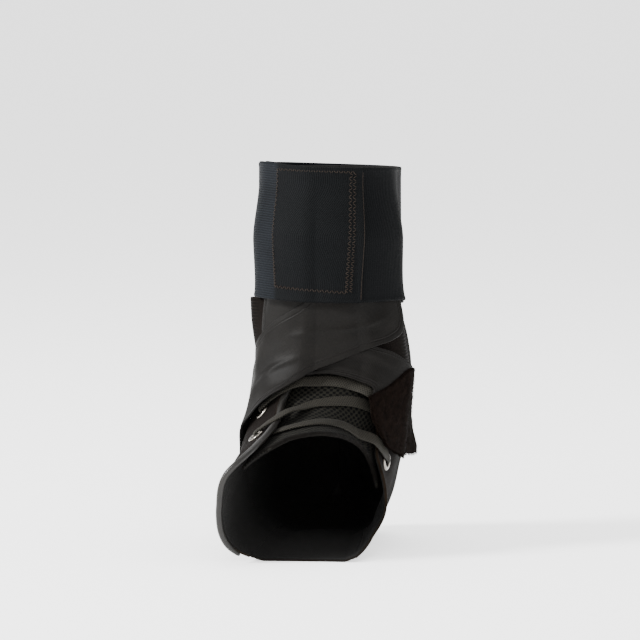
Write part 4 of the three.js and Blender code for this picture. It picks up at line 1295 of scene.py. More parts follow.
@dataclass
class Boot:
    """The open boot: two padded quarters, the sole panel and the tape over the back seam."""

    wardrobe: Wardrobe
    stay_width: float = 22.0
    hem: float = 4.5
    hole_radius: float = 2.75
    # How far the outer quarter reaches under the roll, and the roll's point where it turns forward
    roll_tuck: float = 0.6
    roll_corner: int = 7
    # Shares of the way from top to toe end at which the sole panel starts and the tape ends
    sole_start: float = 11 / 18
    tape_end: float = 12 / 18
    tape_step: float = 1.2

    def sole_half(self, along: Array) -> Array:
        """Return half the sole panel's width as a share of a turn."""
        return 0.1 * ramp(0.58, 0.76, along)

    def seam_turn(self, along: Array) -> Array:
        """Return the turn of the quarters' edge at the back and the sole."""
        return 0.5 - np.maximum(self.sole_half(along), GAUGE.seam / 2 / FORM.girth)

    def outer_edge(self) -> tuple[Line, Line]:
        """Return the outer quarter's throat and front borders, beside the rolled edge."""
        offset = GAUGE.roll_width / 2 - self.roll_tuck
        edge = []
        for k, (s, t) in enumerate(ROLL_LINE):
            before = FORM.point(*map(np.array, ROLL_LINE[max(k - 1, 0)]))
            after = FORM.point(*map(np.array, ROLL_LINE[min(k + 1, len(ROLL_LINE) - 1)]))
            side = unit(np.cross(unit(after - before), FORM.normal(np.array(s), np.array(t)))) * offset
            choices = (FORM.shifted(s, t, side), FORM.shifted(s, t, -side))
            edge.append(min(choices, key=lambda place: place[1 if k < self.roll_corner else 0]))
        throat = [(BOOT_TOP, edge[0][1]), *edge[1:self.roll_corner + 1]]
        front = [*edge[self.roll_corner:-1], (SOLE_END, -0.4)]
        return throat, front

    def quarter_where(self, sign: int) -> Where:
        """Return the places of the outer quarter (-1) or the inner one (1)."""
        throat, front = self.outer_edge() if sign < 0 else (INNER_THROAT, INNER_FRONT)

        def top(u: Array) -> Array:
            """Return the places along the top, from the back seam to the throat."""
            start = sign * self.seam_turn(np.array(BOOT_TOP))
            return np.stack([np.full(u.shape, BOOT_TOP), mix(start, throat[0][1], u)], axis=-1)

        def back(v: Array) -> Array:
            """Return the places down the back seam and along the sole."""
            s = mix(BOOT_TOP, SOLE_END, v)
            return np.stack([s, sign * self.seam_turn(s)], axis=-1)

        return patch_where(top, lambda u: smooth_line(front[::-1], u), back, lambda v: smooth_line(throat, v))

    def quarter_relief(self, cloth: Cloth) -> Array:
        """Return the turned hem, its stitch groove and the soft hollows of a quarter."""
        hem = 0.35 * (1 - ramp(self.hem - 0.6, self.hem + 0.4, cloth.edge))
        groove = -0.3 * bump(cloth.edge, self.hem - 1.2, 0.5)
        soft = 0.35 * ripple(cloth.points[..., 1], cloth.points[..., 2], 34, 5)
        calm = ramp(4, 16, cloth.edge) * ramp(5, 14, cloth.points[..., 2])
        return hem + groove + soft * calm * (1 - 0.7 * LAYERS.laced(cloth.s, cloth.t))

    def side_ribs(self, cloth: Cloth) -> Array:
        """Return 1 on the ribbed lanes at both sides just below the cuff."""
        t = wrap(cloth.t)
        lateral = ramp(-0.31, -0.29, t) * (1 - ramp(-0.19, -0.17, t))
        medial = ramp(0.15, 0.17, t) * (1 - ramp(0.27, 0.29, t))
        return np.maximum(lateral, medial) * ramp(0.2, 0.215, cloth.s) * (1 - ramp(0.4, 0.46, cloth.s))

    def quarter_values(self, cloth: Cloth) -> dict[str, Array]:
        """Return where a quarter is ribbed and where it is rubbed."""
        worn = (1 - ramp(0.3, 1.6, cloth.edge)) * 0.8
        return {"ribbed": self.side_ribs(cloth), "worn": worn}

    def build(self, seats: dict[str, list[tuple[Array, Array]]]) -> None:
        """Build and dress the quarters, the sole panel and the back tape."""
        for name, sign in (("lateral_quarter", -1), ("medial_quarter", 1)):
            piece = put_sheet(
                f"{name}_cloth", self.quarter_where(sign), LAYERS.shell_inner, LAYERS.shell_outer, (110, 190),
                [self.wardrobe.shell, self.wardrobe.lining], self.quarter_relief, unfolded,
                self.quarter_values, finer=(0.2, 0.225, 22),
            )
            self.pierce(piece, seats[name.split("_")[0]])
            dress(piece, "boot_cloth", name)
        self.build_sole()
        self.build_tape()

    def pierce(self, piece: bpy.types.Object, seats: list[tuple[Array, Array]]) -> None:
        """Cut the eyelets' holes out of a quarter."""
        profile = np.array([[0, -4.0], [self.hole_radius, -4.0], [self.hole_radius, 3.0], [0, 3.0]])
        turned = [lathe(profile, point, normal, 24) for point, normal in seats]
        step = len(turned[0][0])
        points = np.concatenate([ring_points for ring_points, _ in turned])
        faces = [
            np.concatenate([blocks[j] + k * step for k, (_, blocks) in enumerate(turned)]) for j in range(2)
        ]
        cutter = put_mesh("hole_cutter", points, faces, [self.wardrobe.shell])
        cut = piece.modifiers.new("holes", "BOOLEAN")
        cut.operation = "DIFFERENCE"
        cut.solver = "EXACT"
        cut.object = cutter
        bpy.context.view_layer.objects.active = piece
        bpy.ops.object.modifier_apply(modifier=cut.name)
        bpy.data.objects.remove(cutter)

    def build_sole(self) -> None:
        """Build the flat panel under the arch and the heel."""
        def where(u: Array, v: Array) -> tuple[Array, Array]:
            """Return the panel's places, which run a little under the quarters' edges."""
            s = mix(BOOT_TOP, SOLE_END, mix(self.sole_start, 1, v))
            half = self.sole_half(s) + 0.1 / FORM.girth
            return s, 0.5 + (2 * u - 1) * half

        piece = put_sheet(
            "sole_panel_cloth", where, lambda s, t: 0 * s, lambda s, t: 0 * s + GAUGE.shell, (60, 140),
            [self.wardrobe.shell, self.wardrobe.lining],
            lambda cloth: -0.25 * bump(cloth.sides, 2.5, 0.5),
            unfolded,
            lambda cloth: {"ribbed": 0 * cloth.s, "worn": 0.4 * (1 - ramp(0.5, 3, cloth.edge))},
        )
        dress(piece, "boot_cloth", "sole_panel")

    def build_tape(self) -> None:
        """Build the tape over the back seam with its two rows of stitches."""
        half = self.stay_width / 2 / FORM.girth

        def where(u: Array, v: Array) -> tuple[Array, Array]:
            """Return the tape's places."""
            return mix(BOOT_TOP, SOLE_END, v * self.tape_end), 0.5 + (2 * u - 1) * half

        def inner(s: Array, t: Array) -> Array:
            """Return the level of the tape's inner face, a step higher round the heel."""
            return LAYERS.shell_outer(s, t) + GAUGE.rest + self.tape_step * ramp(0.5, 0.6, s)

        piece = put_sheet(
            "back_tape_cloth", where, inner, lambda s, t: inner(s, t) + GAUGE.stay, (26, 150),
            [self.wardrobe.strap], lambda cloth: -0.2 * bump(cloth.sides, 2.6, 0.5),
        )
        dress(piece, "binding", "back_tape")
        v = np.linspace(0.02, 0.98, 62)
        for k, u in enumerate((2.6 / self.stay_width, 1 - 2.6 / self.stay_width)):
            s, t = where(np.full(v.shape, u), v)
            path = FORM.place(s, t, inner(s, t) + GAUGE.stay + 0.02)
            up = FORM.normal(s, t)
            row = put_stitches(
                f"back_tape_stitches_{k + 1}", mix(path[:-1], path[1:], 0.15), mix(path[:-1], path[1:], 0.85),
                up[:-1], 0.24, self.wardrobe.thread,
            )
            dress(row, "binding")


def lathe(profile: Array, point: Array, normal: Array, sides: int) -> tuple[Array, list[Array]]:
    """Turn a profile of radius and height pairs round an axis.

    The ring at (r, h) is point + normal * h + r (a cos + b sin), with a and b square to the normal.

    Args:
        profile: Pairs of radius and height; a profile that returns to its first pair makes a ring.
        point: The axis at height 0.
        normal: The axis's direction.
        sides: Points round the axis.

    Returns:
        The points and the blocks of faces, the second of which closes the ends of an open profile.
    """
    helper = np.array([0.0, 0.0, 1.0]) if abs(normal[2]) < 0.9 else np.array([1.0, 0.0, 0.0])
    a = unit(np.cross(normal, helper))
    b = np.cross(normal, a)
    angle = np.linspace(0, 2 * np.pi, sides, endpoint=False)
    ring = np.cos(angle)[:, None] * a + np.sin(angle)[:, None] * b
    points = point + profile[:, 1, None, None] * normal + np.maximum(profile[:, 0, None, None], 0.01) * ring
    k = np.arange(len(profile) * sides).reshape(len(profile), sides)
    after = np.roll(k, -1, axis=1)
    blocks = [np.stack([k[:-1], after[:-1], after[1:], k[1:]], axis=-1).reshape(-1, 4)]
    if not np.allclose(profile[0], profile[-1]):
        blocks.append(np.stack([k[0, ::-1], k[-1]]))
    return points.reshape(-1, 3), blocks


@dataclass
class Eyelets:
    """Ten pressed eyelets: a short barrel with a flange rolled over on the outside."""

    wardrobe: Wardrobe
    flange: float = 10.0
    bore: float = 5.0
    wall: float = 0.5

    def seats(self) -> dict[str, list[tuple[Array, Array]]]:
        """Return each eyelet's middle on the cloth and the way out of it."""
        found: dict[str, list[tuple[Array, Array]]] = {}
        for side, (rows, line) in EYELET_ROWS.items():
            s = np.array(rows)
            t = table_at(line, s)
            outer = FORM.place(s, t, LAYERS.shell_outer(s, t))
            inner = FORM.place(s, t, LAYERS.shell_inner(s, t))
            found[side] = list(zip(outer, unit(outer - inner)))
        return found

    def profile(self) -> Array:
        """Return the closed profile: the barrel, the domed flange and its lip."""
        bore, rim = self.bore / 2, self.flange / 2
        seat, top = 0.12, GAUGE.eyelet_seat + GAUGE.flange
        arc = np.linspace(0, np.pi, 13)
        dome_r = (bore + rim) / 2 + (rim - bore) / 2 * np.cos(arc)
        dome_h = seat + (top - seat) * np.sin(arc) ** 0.7
        dome = np.stack([dome_r, dome_h], axis=-1)
        low = -GAUGE.shell - 0.1
        back = bore + self.wall
        barrel = np.array([[bore, low], [back, low - 0.1], [back, seat - 0.1], [rim, seat]])
        return np.concatenate([dome, barrel])

    def build(self) -> None:
        """Build and dress the ten eyelets."""
        for side, places in self.seats().items():
            for k, (point, normal) in enumerate(places):
                points, faces = lathe(self.profile(), point, normal, 48)
                piece = put_mesh(f"{side}_eyelet_{k + 1}_metal", points, faces, [self.wardrobe.metal])
                face_outwards(piece)
                dress(piece, "eyelet_metal", f"{side}_eyelet_{k + 1}")


@dataclass
class Lace:
    """One flat braided cord that zigzags from eyelet to eyelet and bunches up in each bore."""

    wardrobe: Wardrobe
    eyelets: Eyelets
    width: float = 6.4
    bunched: float = 3.1
    samples: int = 22
    # Nearer than this to an eyelet the cord leaves its route and bunches up: distance and spread
    flat_from: float = 6.2
    gathers: tuple[tuple[float, float], ...] = ((4.4, 0.45), (2.4, 0.1))
    turn_in: float = 0.85
    crossing: float = 0.35

    def ends(self, route: Line, seats: dict[str, list[tuple[Array, Array]]]) -> list[tuple]:
        """Return the seat, the way out of it, along and turn of the eyelet at each end of a bar."""
        found = []
        for s_end, t_end in (route[0], route[-1]):
            side = "medial" if t_end > 0 else "lateral"
            rows, line = EYELET_ROWS[side]
            k = int(np.argmin(np.abs(np.array(rows) - s_end)))
            found.append((*seats[side][k], rows[k], float(table_at(line, rows[k]))))
        return found

    def gathered(self, end: tuple, toward: Array, is_over: bool) -> list[tuple[Array, Array, float]]:
        """Bring the cord from a bar into an eyelet.

        Args:
            end: The eyelet's seat, the way out of it, along and turn.
            toward: The bar's nearest point.
            is_over: Whether the bar lies over the margin.

        Returns:
            A point, the vector across the cord and its spread, for each step into the bore.
        """
        seat, normal, s_end, t_end = end
        top = LAYERS.lace_height - GAUGE.lace / 2
        bottom = -GAUGE.shell - GAUGE.lace_rest - GAUGE.lace / 2
        middle, radius = (top + bottom) / 2, (top - bottom) / 2
        way = self.level_way(seat, normal, toward)
        side = unit(np.cross(way, normal))
        made = []
        for distance, spread in self.gathers:
            s, t = map(np.array, FORM.shifted(s_end, t_end, way * distance))
            level = LAYERS.shell_outer(s, t) + (top if is_over else bottom)
            made.append((FORM.place(s, t, level), side, spread))
        angle = (1 if is_over else -1) * np.pi / 3.2
        out = self.turn_in - radius * 0.62 * np.cos(angle)
        made.append((seat + way * out + normal * (middle + radius * np.sin(angle)), side, 0.0))
        made.append((seat + normal * middle - way * self.crossing, side, 0.0))
        return made

    def level_way(self, seat: Array, normal: Array, toward: Array) -> Array:
        """Return the unit vector from an eyelet towards a point, square to the eyelet's axis."""
        way = toward - seat
        return unit(way - normal * (way @ normal))

    def frames(self) -> tuple[Array, Array, Array]:
        """Return the lace's points, the vectors across it and its spread from 0 to 1."""
        seats = self.eyelets.seats()
        frames: list[tuple[Array, Array, float]] = []
        sign = 1.0
        for over, route in LACE_BARS:
            both = smooth_line(route, np.linspace(0, 1, self.samples))
            s, t = both[:, 0], both[:, 1]
            at_start = (t > 0.02) == (route[0][1] > 0)
            level = np.where(at_start, LAYERS.lace_level(s, t, over[0]), LAYERS.lace_level(s, t, over[1]))
            line = FORM.place(s, t, level)
            ends = self.ends(route, seats)
            far = np.min([np.linalg.norm(line - end[0], axis=-1) for end in ends], axis=0)
            keep = far > self.flat_from
            line, far = line[keep], far[keep]
            side = np.cross(unit(np.gradient(line, axis=0)), FORM.normal(s, t)[keep])
            spread = np.clip(ramp(2, 12, far) + 0.1, 0, 1)
            leaving = self.gathered(ends[0], line[0], over[0])[-2::-1]
            arriving = [(p, -a, w) for p, a, w in self.gathered(ends[1], line[-1], over[1])]
            frames += [(p, a * sign, w) for p, a, w in [*leaving, *zip(line, side, spread), *arriving]]
            sign = -sign
        points, across, spreads = (np.array(column) for column in zip(*frames[:-1]))
        return points, unit(across), spreads

    def build(self) -> None:
        """Build and dress the lace."""
        points, across, spread = self.frames()
        count = len(points) * 5
        share = np.linspace(0, 1, count)
        path = smooth_line(points, share)
        side = unit(smooth_line(across, share))
        open_share = np.clip(smooth_line(spread[:, None], share)[:, 0], 0, 1)
        tangent = unit(np.gradient(path, axis=0))
        up = unit(np.cross(side, tangent))
        width = mix(self.bunched, self.width, open_share)
        height = mix(1.75, GAUGE.lace + 0.35, ramp(0.0, 0.6, open_share))
        slack = 0.12 * np.sin(np.linspace(0, 90, count))
        piece = put_sweep(
            "lace_braid", path + up * slack[:, None] * open_share[:, None], up, width, height,
            [self.wardrobe.braid], sides=20, square=2.6,
        )
        dress(piece, "lace_cord", "lace")
        LOG.info("lace: %.0f mm from end to end", np.linalg.norm(np.diff(path, axis=0), axis=1).sum())


@dataclass
class Tongue:
    """The mesh tongue with a brushed binding along its front edge."""

    wardrobe: Wardrobe

    def where(self) -> Where:
        """Return the tongue's places."""
        first, last = TONGUE_OUTER[0], TONGUE_INNER[0]

        def top(u: Array) -> Array:
            """Return the places along the tongue's top."""
            return np.stack([np.full(u.shape, first[0]), mix(first[1], last[1], u)], axis=-1)

        return patch_where(
            top, lambda u: smooth_line(TONGUE_FRONT, u),
            lambda v: smooth_line(TONGUE_OUTER, v), lambda v: smooth_line(TONGUE_INNER, v),
        )

    def relief(self, cloth: Cloth) -> Array:
        """Return the soft hollows of the mesh."""
        return 0.18 * ripple(cloth.points[..., 0], cloth.points[..., 2], 22, 9) * ramp(2, 8, cloth.edge)

    def build(self) -> None:
        """Build and dress the tongue and its binding."""
        piece = put_sheet(
            "tongue_mesh_cloth", self.where(), lambda s, t: 0 * s, lambda s, t: 0 * s + GAUGE.tongue,
            (90, 190), [self.wardrobe.mesh, self.wardrobe.lining], self.relief, unfolded,
        )
        dress(piece, "tongue_mesh", "tongue")
        share = np.linspace(0.0, 1.0, 260)
        both = smooth_line(TONGUE_FRONT, share)
        level = np.full(share.shape, GAUGE.tongue / 2)
        path = FORM.place(both[:, 0] - 0.004, both[:, 1], level)
        up = FORM.normal(both[:, 0], both[:, 1])
        rough = 0.16 * ripple(share * 260, share * 0, 9, 21) + 0.1 * ripple(share * 260, share * 0, 3, 22)
        strip = put_sweep(
            "tongue_binding", path, up, 2.4 + rough, GAUGE.tongue + 0.3 + rough, [self.wardrobe.edge_tape],
            sides=18, square=3.0,
        )
        dress(strip, "binding")


@dataclass
class RolledEdge:
    """The round folded edge of the outer quarter."""

    wardrobe: Wardrobe

    def build(self) -> None:
        """Build and dress the roll: a round section that swells and tightens a little."""
        share = np.linspace(0, 1, 320)
        both = smooth_line(ROLL_LINE, share)
        level = LAYERS.shell_inner(both[:, 0], both[:, 1]) + GAUGE.roll_height / 2 + 0.4
        path = FORM.place(both[:, 0], both[:, 1], level)
        path[:, 2] = np.maximum(path[:, 2], GAUGE.roll_height / 2 + 0.2)
        up = FORM.normal(both[:, 0], both[:, 1])
        swell = 1 + 0.035 * ripple(share * 230, share * 0, 22, 3)
        tip = 1 - 0.35 * ramp(0.9, 1.0, share)
        piece = put_sweep(
            "rolled_edge_tape", path, up,
            GAUGE.roll_width * swell * tip, (GAUGE.roll_height + 0.8) * swell * tip,
            [self.wardrobe.roll], sides=22, square=2.2,
        )
        dress(piece, "binding", "rolled_edge")


@dataclass
class Straps:
    """The two straps that cross over the instep, and the brushed tab that ends the lower one."""

    wardrobe: Wardrobe
    hem: float = 4.2
    upper_fold: float = 0.65
    lower_fold: float = 0.7
    tab_lift: float = 3.5
    tab_corner_lift: float = 1.8
    fibre_count: int = 3500
    upper_creases: tuple[Crease, ...] = (
        Crease(((-41.0, 82.0), (-36.6, 88.5), (-30.7, 95.6), (-24.1, 101.0), (-12.0, 106.0)), 1.5, 1.8),
        Crease(((-38.5, 88.0), (-33.0, 98.0), (-25.0, 106.0), (-12.0, 111.5)), -0.7, 3.4),
        Crease(((-33.0, 112.0), (-30.7, 118.4), (-27.4, 123.8), (-20.0, 131.0)), 1.2, 1.6),
        Crease(((-18.0, 117.0), (-4.0, 119.5), (12.0, 121.0), (24.0, 123.2), (33.0, 127.0)), 0.9, 1.5),
        Crease(((-20.0, 121.0), (-6.0, 124.0), (10.0, 125.0), (30.0, 129.5)), -0.55, 2.6),
        Crease(((-22.0, 131.5), (-8.0, 132.0), (6.0, 131.5), (18.0, 129.0)), 0.5, 2.0),
        Crease(((-14.0, 109.0), (4.0, 112.5), (18.0, 115.5), (34.0, 118.5)), 0.45, 2.2),
        Crease(((-20.0, 96.0), (-8.0, 101.5), (6.0, 107.0), (24.0, 112.0)), -0.4, 2.6),
    )
    lower_creases: tuple[Crease, ...] = (
        Crease(((2.0, 101.5), (14.0, 99.5), (24.0, 95.5), (33.0, 90.5)), 0.5, 1.7),
        Crease(((6.0, 105.0), (18.0, 104.5), (28.0, 102.0), (38.0, 97.0)), -0.45, 2.2),
        Crease(((20.0, 108.5), (30.0, 106.0), (40.0, 99.0)), 0.5, 1.8),
    )

    def hemmed(self, cloth: Cloth) -> Array:
        """Return the hem's fold and the groove of its stitches along both sides."""
        fold = 0.22 * (1 - ramp(self.hem - 0.3, self.hem + 0.5, cloth.sides))
        return fold - 0.28 * bump(cloth.sides, self.hem - 0.9, 0.42)

    def upper_relief(self, cloth: Cloth) -> Array:
        """Return the upper strap's folds."""
        folds = sum(crease.relief(cloth) for crease in self.upper_creases)
        soft = 0.22 * ripple(cloth.across * 1.7, cloth.along, 26, 12)
        return self.hemmed(cloth) + (folds * self.upper_fold + soft) * ramp(0.5, 5, cloth.edge)

    def lower_relief(self, cloth: Cloth) -> Array:
        """Return the lower strap's folds and the second line of its hem."""
        folds = sum(crease.relief(cloth) for crease in self.lower_creases)
        second = -0.2 * bump(cloth.across, 1.5, 0.35)
        soft = 0.1 * ripple(cloth.across * 1.5, cloth.along, 18, 14)
        return self.hemmed(cloth) + second + (folds * self.lower_fold + soft) * ramp(0.5, 4, cloth.edge)

    def build(self) -> None:
        """Build and dress both straps and the tab."""
        lower = strip_where(LOWER_STRAP_LOW, LOWER_STRAP_HIGH, SEAM_BOW)
        piece = put_sheet(
            "lower_strap_cloth", lower, LAYERS.lower_strap,
            lambda s, t: LAYERS.lower_strap(s, t) + GAUGE.strap, (110, 220),
            [self.wardrobe.strap, self.wardrobe.strap_back], self.lower_relief,
        )
        dress(piece, "strap_cloth", "lower_strap")
        upper = strip_where(UPPER_STRAP_LOW, UPPER_STRAP_HIGH)
        piece = put_sheet(
            "upper_strap_cloth", upper, LAYERS.upper_strap,
            lambda s, t: LAYERS.upper_strap(s, t) + GAUGE.strap, (170, 260),
            [self.wardrobe.strap, self.wardrobe.strap_back], self.upper_relief,
        )
        dress(piece, "strap_cloth", "upper_strap")
        self.build_tab()

    def tab_level(self, s: Array, t: Array, u: Array, v: Array) -> Array:
        """Return the level of the tab's inner face, which lifts off towards its free corner."""
        side = self.tab_lift * ramp(0.45, 1, v) * ramp(0.5, 1, u)
        corner = self.tab_corner_lift * ramp(0.72, 1, v) * ramp(0.62, 1, u)
        return LAYERS.lower_strap(s, t) + side + corner

    def build_tab(self) -> None:
        """Build the tab of loop pile with loose fibres over its face and edges."""
        where = strip_where(TAB_LOW, TAB_HIGH, SEAM_BOW)

        def at(u: Array, v: Array) -> tuple[Array, Array]:
            """Return the tab's places, which start a little under the strap's end."""
            return where(u, mix(-0.03, 1, v))

        across = edged(70, 45, 1.0)
        along = edged(70, 40, 1.0)
        u, v = np.meshgrid(across, along, indexing="ij")
        s, t = at(u, v)
        base = self.tab_level(s, t, u, v)
        middle = FORM.place(s, t, base + GAUGE.tab / 2)
        cloth = measured(s, t, middle)
        rounding = half_round(cloth.edge)
        nap = 0.14 * ripple(cloth.across, cloth.along, 9, 31)
        nap = nap + 0.06 * ripple(cloth.across, cloth.along, 2.6, 32)
        nap = nap * ramp(0.2, 2, cloth.edge)
        top = FORM.place(s, t, base + GAUGE.tab / 2 * (1 + rounding) + nap)
        bottom = FORM.place(s, t, base + GAUGE.tab / 2 * (1 - rounding))
        uv = np.stack([cloth.across, cloth.along], axis=-1)
        piece = put_shell("strap_tab_pile", top, bottom, [self.wardrobe.pile], uv, {})
        dress(piece, "loop_pile", "strap_tab")
        self.build_fibres(at)

    def build_fibres(self, at: Where) -> None:
        """Scatter short bent fibres over the tab, most of them along its edges."""
        rng = np.random.default_rng(8)
        count = self.fibre_count
        u = rng.uniform(0.005, 0.995, count)
        v = rng.uniform(0.005, 0.995, count)
        edge = rng.integers(0, 4, count // 2)
        u[:count // 2] = np.select([edge == 0, edge == 1], [0.004, 0.996], u[:count // 2])
        v[:count // 2] = np.select([edge == 2, edge == 3], [0.004, 0.996], v[:count // 2])
        s, t = at(u, v)
        level = self.tab_level(s, t, u, v) + GAUGE.tab * rng.uniform(0.6, 0.95, count)
        root = FORM.place(s, t, level)
        normal = FORM.normal(s, t)
        ds, dt = FORM.slopes(s, t)
        lean = unit(unit(ds) * rng.normal(0.9, 0.5, (count, 1)) + unit(dt) * rng.normal(0, 0.5, (count, 1)))
        tip = root + normal * rng.uniform(0.3, 0.9, (count, 1)) + lean * rng.uniform(0.5, 1.5, (count, 1))
        piece = put_stitches("strap_tab_fibres", root, tip, normal, 0.07, self.wardrobe.pile)
        dress(piece, "loop_pile")


@dataclass
class Cuff:
    """The wide ribbed elastic that wraps round the shaft and closes over its own start."""

    wardrobe: Wardrobe
    end_slant: float = 0.011
    left_column: tuple[float, float] = (0.9165, 0.921)
    right_column: tuple[float, float] = (1.052, 1.041)
    top_row: tuple[float, float] = (0.0125, 0.0165)
    bottom_row: tuple[float, float] = (0.1905, 0.202)
    second_column: float = 0.007

    @property
    def lift(self) -> float:
        """Height of the outer turn over the inner one."""
        return GAUGE.cuff + GAUGE.patch + 2 * GAUGE.patch_rest

    def lean(self, t: Array) -> Array:
        """Return the slight slant of the cuff's borders."""
        return 0.003 * np.sin(2 * np.pi * t)

    def where(self, u: Array, v: Array) -> tuple[Array, Array]:
        """Return the cuff's places: u across its height, v round it."""
        t = mix(CUFF_START, CUFF_END - self.end_slant * u, v)
        slant = self.lean(t) - 0.004 * bump(wrap(t), -0.13, 0.06) * (1 - u)
        return mix(CUFF_TOP + slant, CUFF_BOTTOM + 2 * slant, u), t

    def level(self, s: Array, t: Array) -> Array:
        """Return the level of the inner face of the turn that a place lies in."""
        return LAYERS.cuff(s, t) + self.lift * ramp(0.67, 0.81, t)

    def relief(self, cloth: Cloth) -> Array:
        """Return the selvedges, and the soft waves that the tension and the seams give."""
        selvedge = 0.25 * bump(cloth.sides, 1.2, 1.0)
        free = ramp(0.8, 0.93, cloth.t)
        waves = 0.22 * ripple(cloth.across * 0.6, cloth.along, 40, 41)
        left = np.sin(2 * np.pi * cloth.across / 8.5) * bump(cloth.t, self.left_column[0], 0.02)
        right = np.sin(2 * np.pi * cloth.across / 7.7 + 1) * bump(cloth.t, self.right_column[0], 0.015)
        puckers = 0.12 * (left + right)
        return selvedge + (waves * (0.4 + 0.6 * free) + puckers) * ramp(0, 4, cloth.edge)

    def values(self, cloth: Cloth) -> dict[str, Array]:
        """Return 1 on the band's sewn end and on the turn under its free end, which the finish paints darker,
        partly as painted shade.
        """
        seam = mix(*self.left_column, cloth.across / cloth.width)
        sewn = ramp(-0.004, 0.004, cloth.t - seam)
        # The turn under the free end: painted darker, partly its own plain face, partly painted shade
        under = 1 - ramp(0.2, 0.3, cloth.t)
        return {"sewn": np.maximum(sewn, under)}

    def build(self) -> None:
        """Build and dress the cuff, its hook patch and its zigzag stitches."""
        piece = put_sheet(
            "elastic_cuff_band", self.where, self.level, lambda s, t: self.level(s, t) + GAUGE.cuff,
            (86, 500), [self.wardrobe.elastic], self.relief, values=self.values,
        )
        dress(piece, "ribbed_elastic", "elastic_cuff")
        self.build_patch()
        self.build_selvedge()
        self.build_stitches()

    def build_patch(self) -> None:
        """Build the patch of hook tape under the free end."""
        def where(u: Array, v: Array) -> tuple[Array, Array]:
            """Return the patch's places, inside the cuff's borders."""
            t = mix(PATCH_START, PATCH_END, v)
            slant = self.lean(t)
            return mix(CUFF_TOP + slant, CUFF_BOTTOM + 2 * slant, mix(0.07, 0.88, u)), t

        def inner(s: Array, t: Array) -> Array:
            """Return the level of the patch's inner face."""
            return LAYERS.cuff(s, t) + GAUGE.cuff + GAUGE.patch_rest

        piece = put_sheet(
            "hook_patch_tape", where, inner, lambda s, t: inner(s, t) + GAUGE.patch, (40, 60),
            [self.wardrobe.hooks],
        )
        dress(piece, "hook_tape", "hook_patch")

    def on_face(self, s: Array, t: Array) -> Array:
        """Return points on the outer face of the outer turn."""
        return FORM.place(s, t, self.level(s, t) + GAUGE.cuff + 0.1)

    def zigzag(
        self, start: tuple[float, float], end: tuple[float, float], width: float, pitch: float
    ) -> tuple[Array, Array, Array]:
        """Lay one line of zigzag stitches.

        Args:
            start: Place of its first end.
            end: Place of its last end.
            width: Width of the zigzag, millimetres.
            pitch: Length of a stitch along the line, millimetres.

        Returns:
            The starts, the ends and the ways out of the stitches.
        """
        ends = self.on_face(np.array([start[0], end[0]]), np.array([start[1], end[1]]))
        count = max(int(np.linalg.norm(ends[1] - ends[0]) * 1.04 / pitch), 2)
        share = np.linspace(0, 1, count + 1)
        s = mix(start[0], end[0], share)
        t = mix(start[1], end[1], share)
        path = self.on_face(s, t)
        up = FORM.normal(s, t)
        side = unit(np.cross(unit(np.gradient(path, axis=0)), up))
        swing = np.where(np.arange(count + 1) % 2 == 0, width / 2, -width / 2)
        path = path + side * swing[:, None]
        return mix(path[:-1], path[1:], 0.1), mix(path[:-1], path[1:], 0.9), up[:-1]

    def build_selvedge(self) -> None:
        """Lay the light cord of the selvedge along the free end."""
        u = np.linspace(0.03, 0.97, 90)
        s, t = self.where(u, np.ones(90))
        path = FORM.place(s, t, self.level(s, t) + GAUGE.cuff * 0.75)
        size = 0.42 + 0.05 * ripple(u * 80, 0 * u, 5, 51)
        thread = [self.wardrobe.cuff_thread]
        piece = put_sweep("cuff_selvedge", path, FORM.normal(s, t), size, size, thread, sides=8)
        dress(piece, "ribbed_elastic")

    def build_stitches(self) -> None:
        """Sew the free end down with a rectangle of zigzag, double on its right side."""
        left_top, left_low = zip(self.top_row[:1] + self.bottom_row[:1], self.left_column)
        right_top, right_low = zip(self.top_row[1:] + self.bottom_row[1:], self.right_column)
        outer_top, outer_low = ((s, t + self.second_column) for s, t in (right_top, right_low))
        lines = [
            self.zigzag(left_top, left_low, 1.8, 1.2),
            self.zigzag(right_top, right_low, 2.4, 1.5),
            self.zigzag(outer_top, outer_low, 2.4, 1.5),
            self.zigzag(left_top, outer_top, 2.0, 1.3),
            self.zigzag(left_low, right_low, 2.0, 1.3),
        ]
        starts, stops, up = (np.concatenate(column) for column in zip(*lines))
        piece = put_stitches("cuff_stitches", starts, stops, up, 0.24, self.wardrobe.cuff_thread)
        dress(piece, "ribbed_elastic")


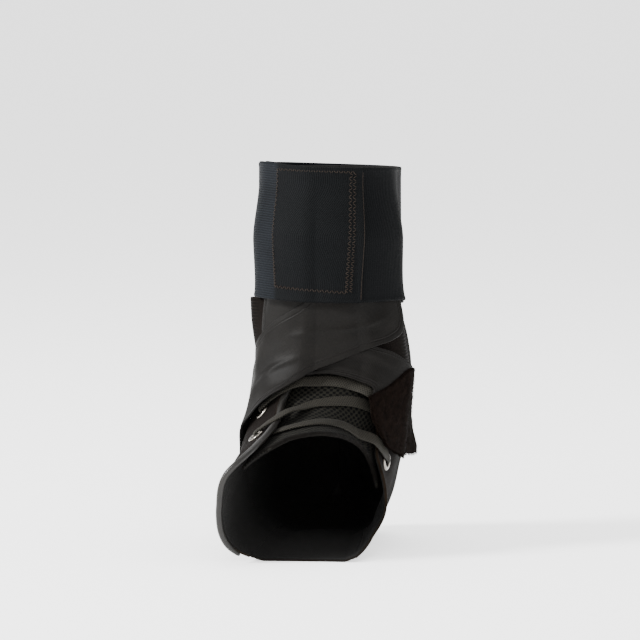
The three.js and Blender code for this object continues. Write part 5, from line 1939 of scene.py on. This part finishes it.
@dataclass
class Studio:
    """A pale floor, soft lights and the camera at the photograph's angle."""

    distance: float = 2.7
    height: float = 0.312
    around: float = 6.0
    down: float = 4.008
    aside: float = 0.1284
    focal_pixels: float = 4909.1
    frame_pixels: float = 640.0
    sensor_mm: float = 36.0

    def build(self) -> None:
        """Build the floor, the lights and the camera."""
        self.build_floor()
        self.build_light("key", (-2.2, -1.1, 1.5), size=0.8, power=190.0)
        self.build_light("fill", (0.6, -2.4, 1.2), size=1.6, power=25.0)
        self.build_light("top", (0.1, 0.5, 2.2), size=1.5, power=30.0)
        world = bpy.data.worlds.new("soft_room")
        world.use_nodes = True
        world.node_tree.nodes["Background"].inputs["Color"].default_value = linear("#f4f4f4")
        world.node_tree.nodes["Background"].inputs["Strength"].default_value = 1.3
        bpy.context.scene.world = world
        self.build_camera()

    def build_floor(self) -> None:
        """Build the floor."""
        reach = 90000.0
        corners = np.array([[-reach, -reach, 0], [reach, -reach, 0], [reach, reach, 0], [-reach, reach, 0]])
        material, _, principled = shader("pale_floor")
        principled.inputs["Base Color"].default_value = linear("#f4f4f4")
        principled.inputs["Emission Color"].default_value = linear("#ffffff")
        principled.inputs["Emission Strength"].default_value = 1.3
        principled.inputs["Roughness"].default_value = 0.9
        floor = put_mesh("floor", corners, [np.array([[0, 1, 2, 3]])], [material])

    def build_light(self, name: str, place: tuple[float, float, float], size: float, power: float) -> None:
        """Build one soft light that faces the middle of the brace."""
        lamp = bpy.data.lights.new(name, "AREA")
        lamp.shape = "DISK"
        lamp.size = size
        lamp.energy = power
        piece = bpy.data.objects.new(name, lamp)
        piece.location = place
        piece.rotation_euler = (Vector((0, -0.03, 0.11)) - Vector(place)).to_track_quat("-Z", "Y").to_euler()
        bpy.context.scene.collection.objects.link(piece)

    def build_camera(self) -> None:
        """Build the camera."""
        data = bpy.data.cameras.new("camera")
        data.sensor_width = self.sensor_mm
        data.lens = self.focal_pixels / self.frame_pixels * self.sensor_mm
        data.clip_end = 300.0
        camera = bpy.data.objects.new("camera", data)
        turn = math.radians(self.around)
        camera.location = (math.sin(turn) * self.distance, -math.cos(turn) * self.distance, self.height)
        camera.rotation_euler = (math.radians(90 - self.down), 0, turn + math.radians(self.aside))
        bpy.context.scene.collection.objects.link(camera)
        bpy.context.scene.camera = camera


def main() -> None:
    """Build the studio and every part of the brace, in the order in which it is put together."""
    logging.basicConfig(level=logging.INFO, format="%(name)s %(message)s")
    Studio().build()
    wardrobe = Wardrobe()
    eyelets = Eyelets(wardrobe)
    Boot(wardrobe).build(eyelets.seats())
    Tongue(wardrobe).build()
    RolledEdge(wardrobe).build()
    eyelets.build()
    Lace(wardrobe, eyelets).build()
    Straps(wardrobe).build()
    Cuff(wardrobe).build()


if __name__ == "__main__":
    main()
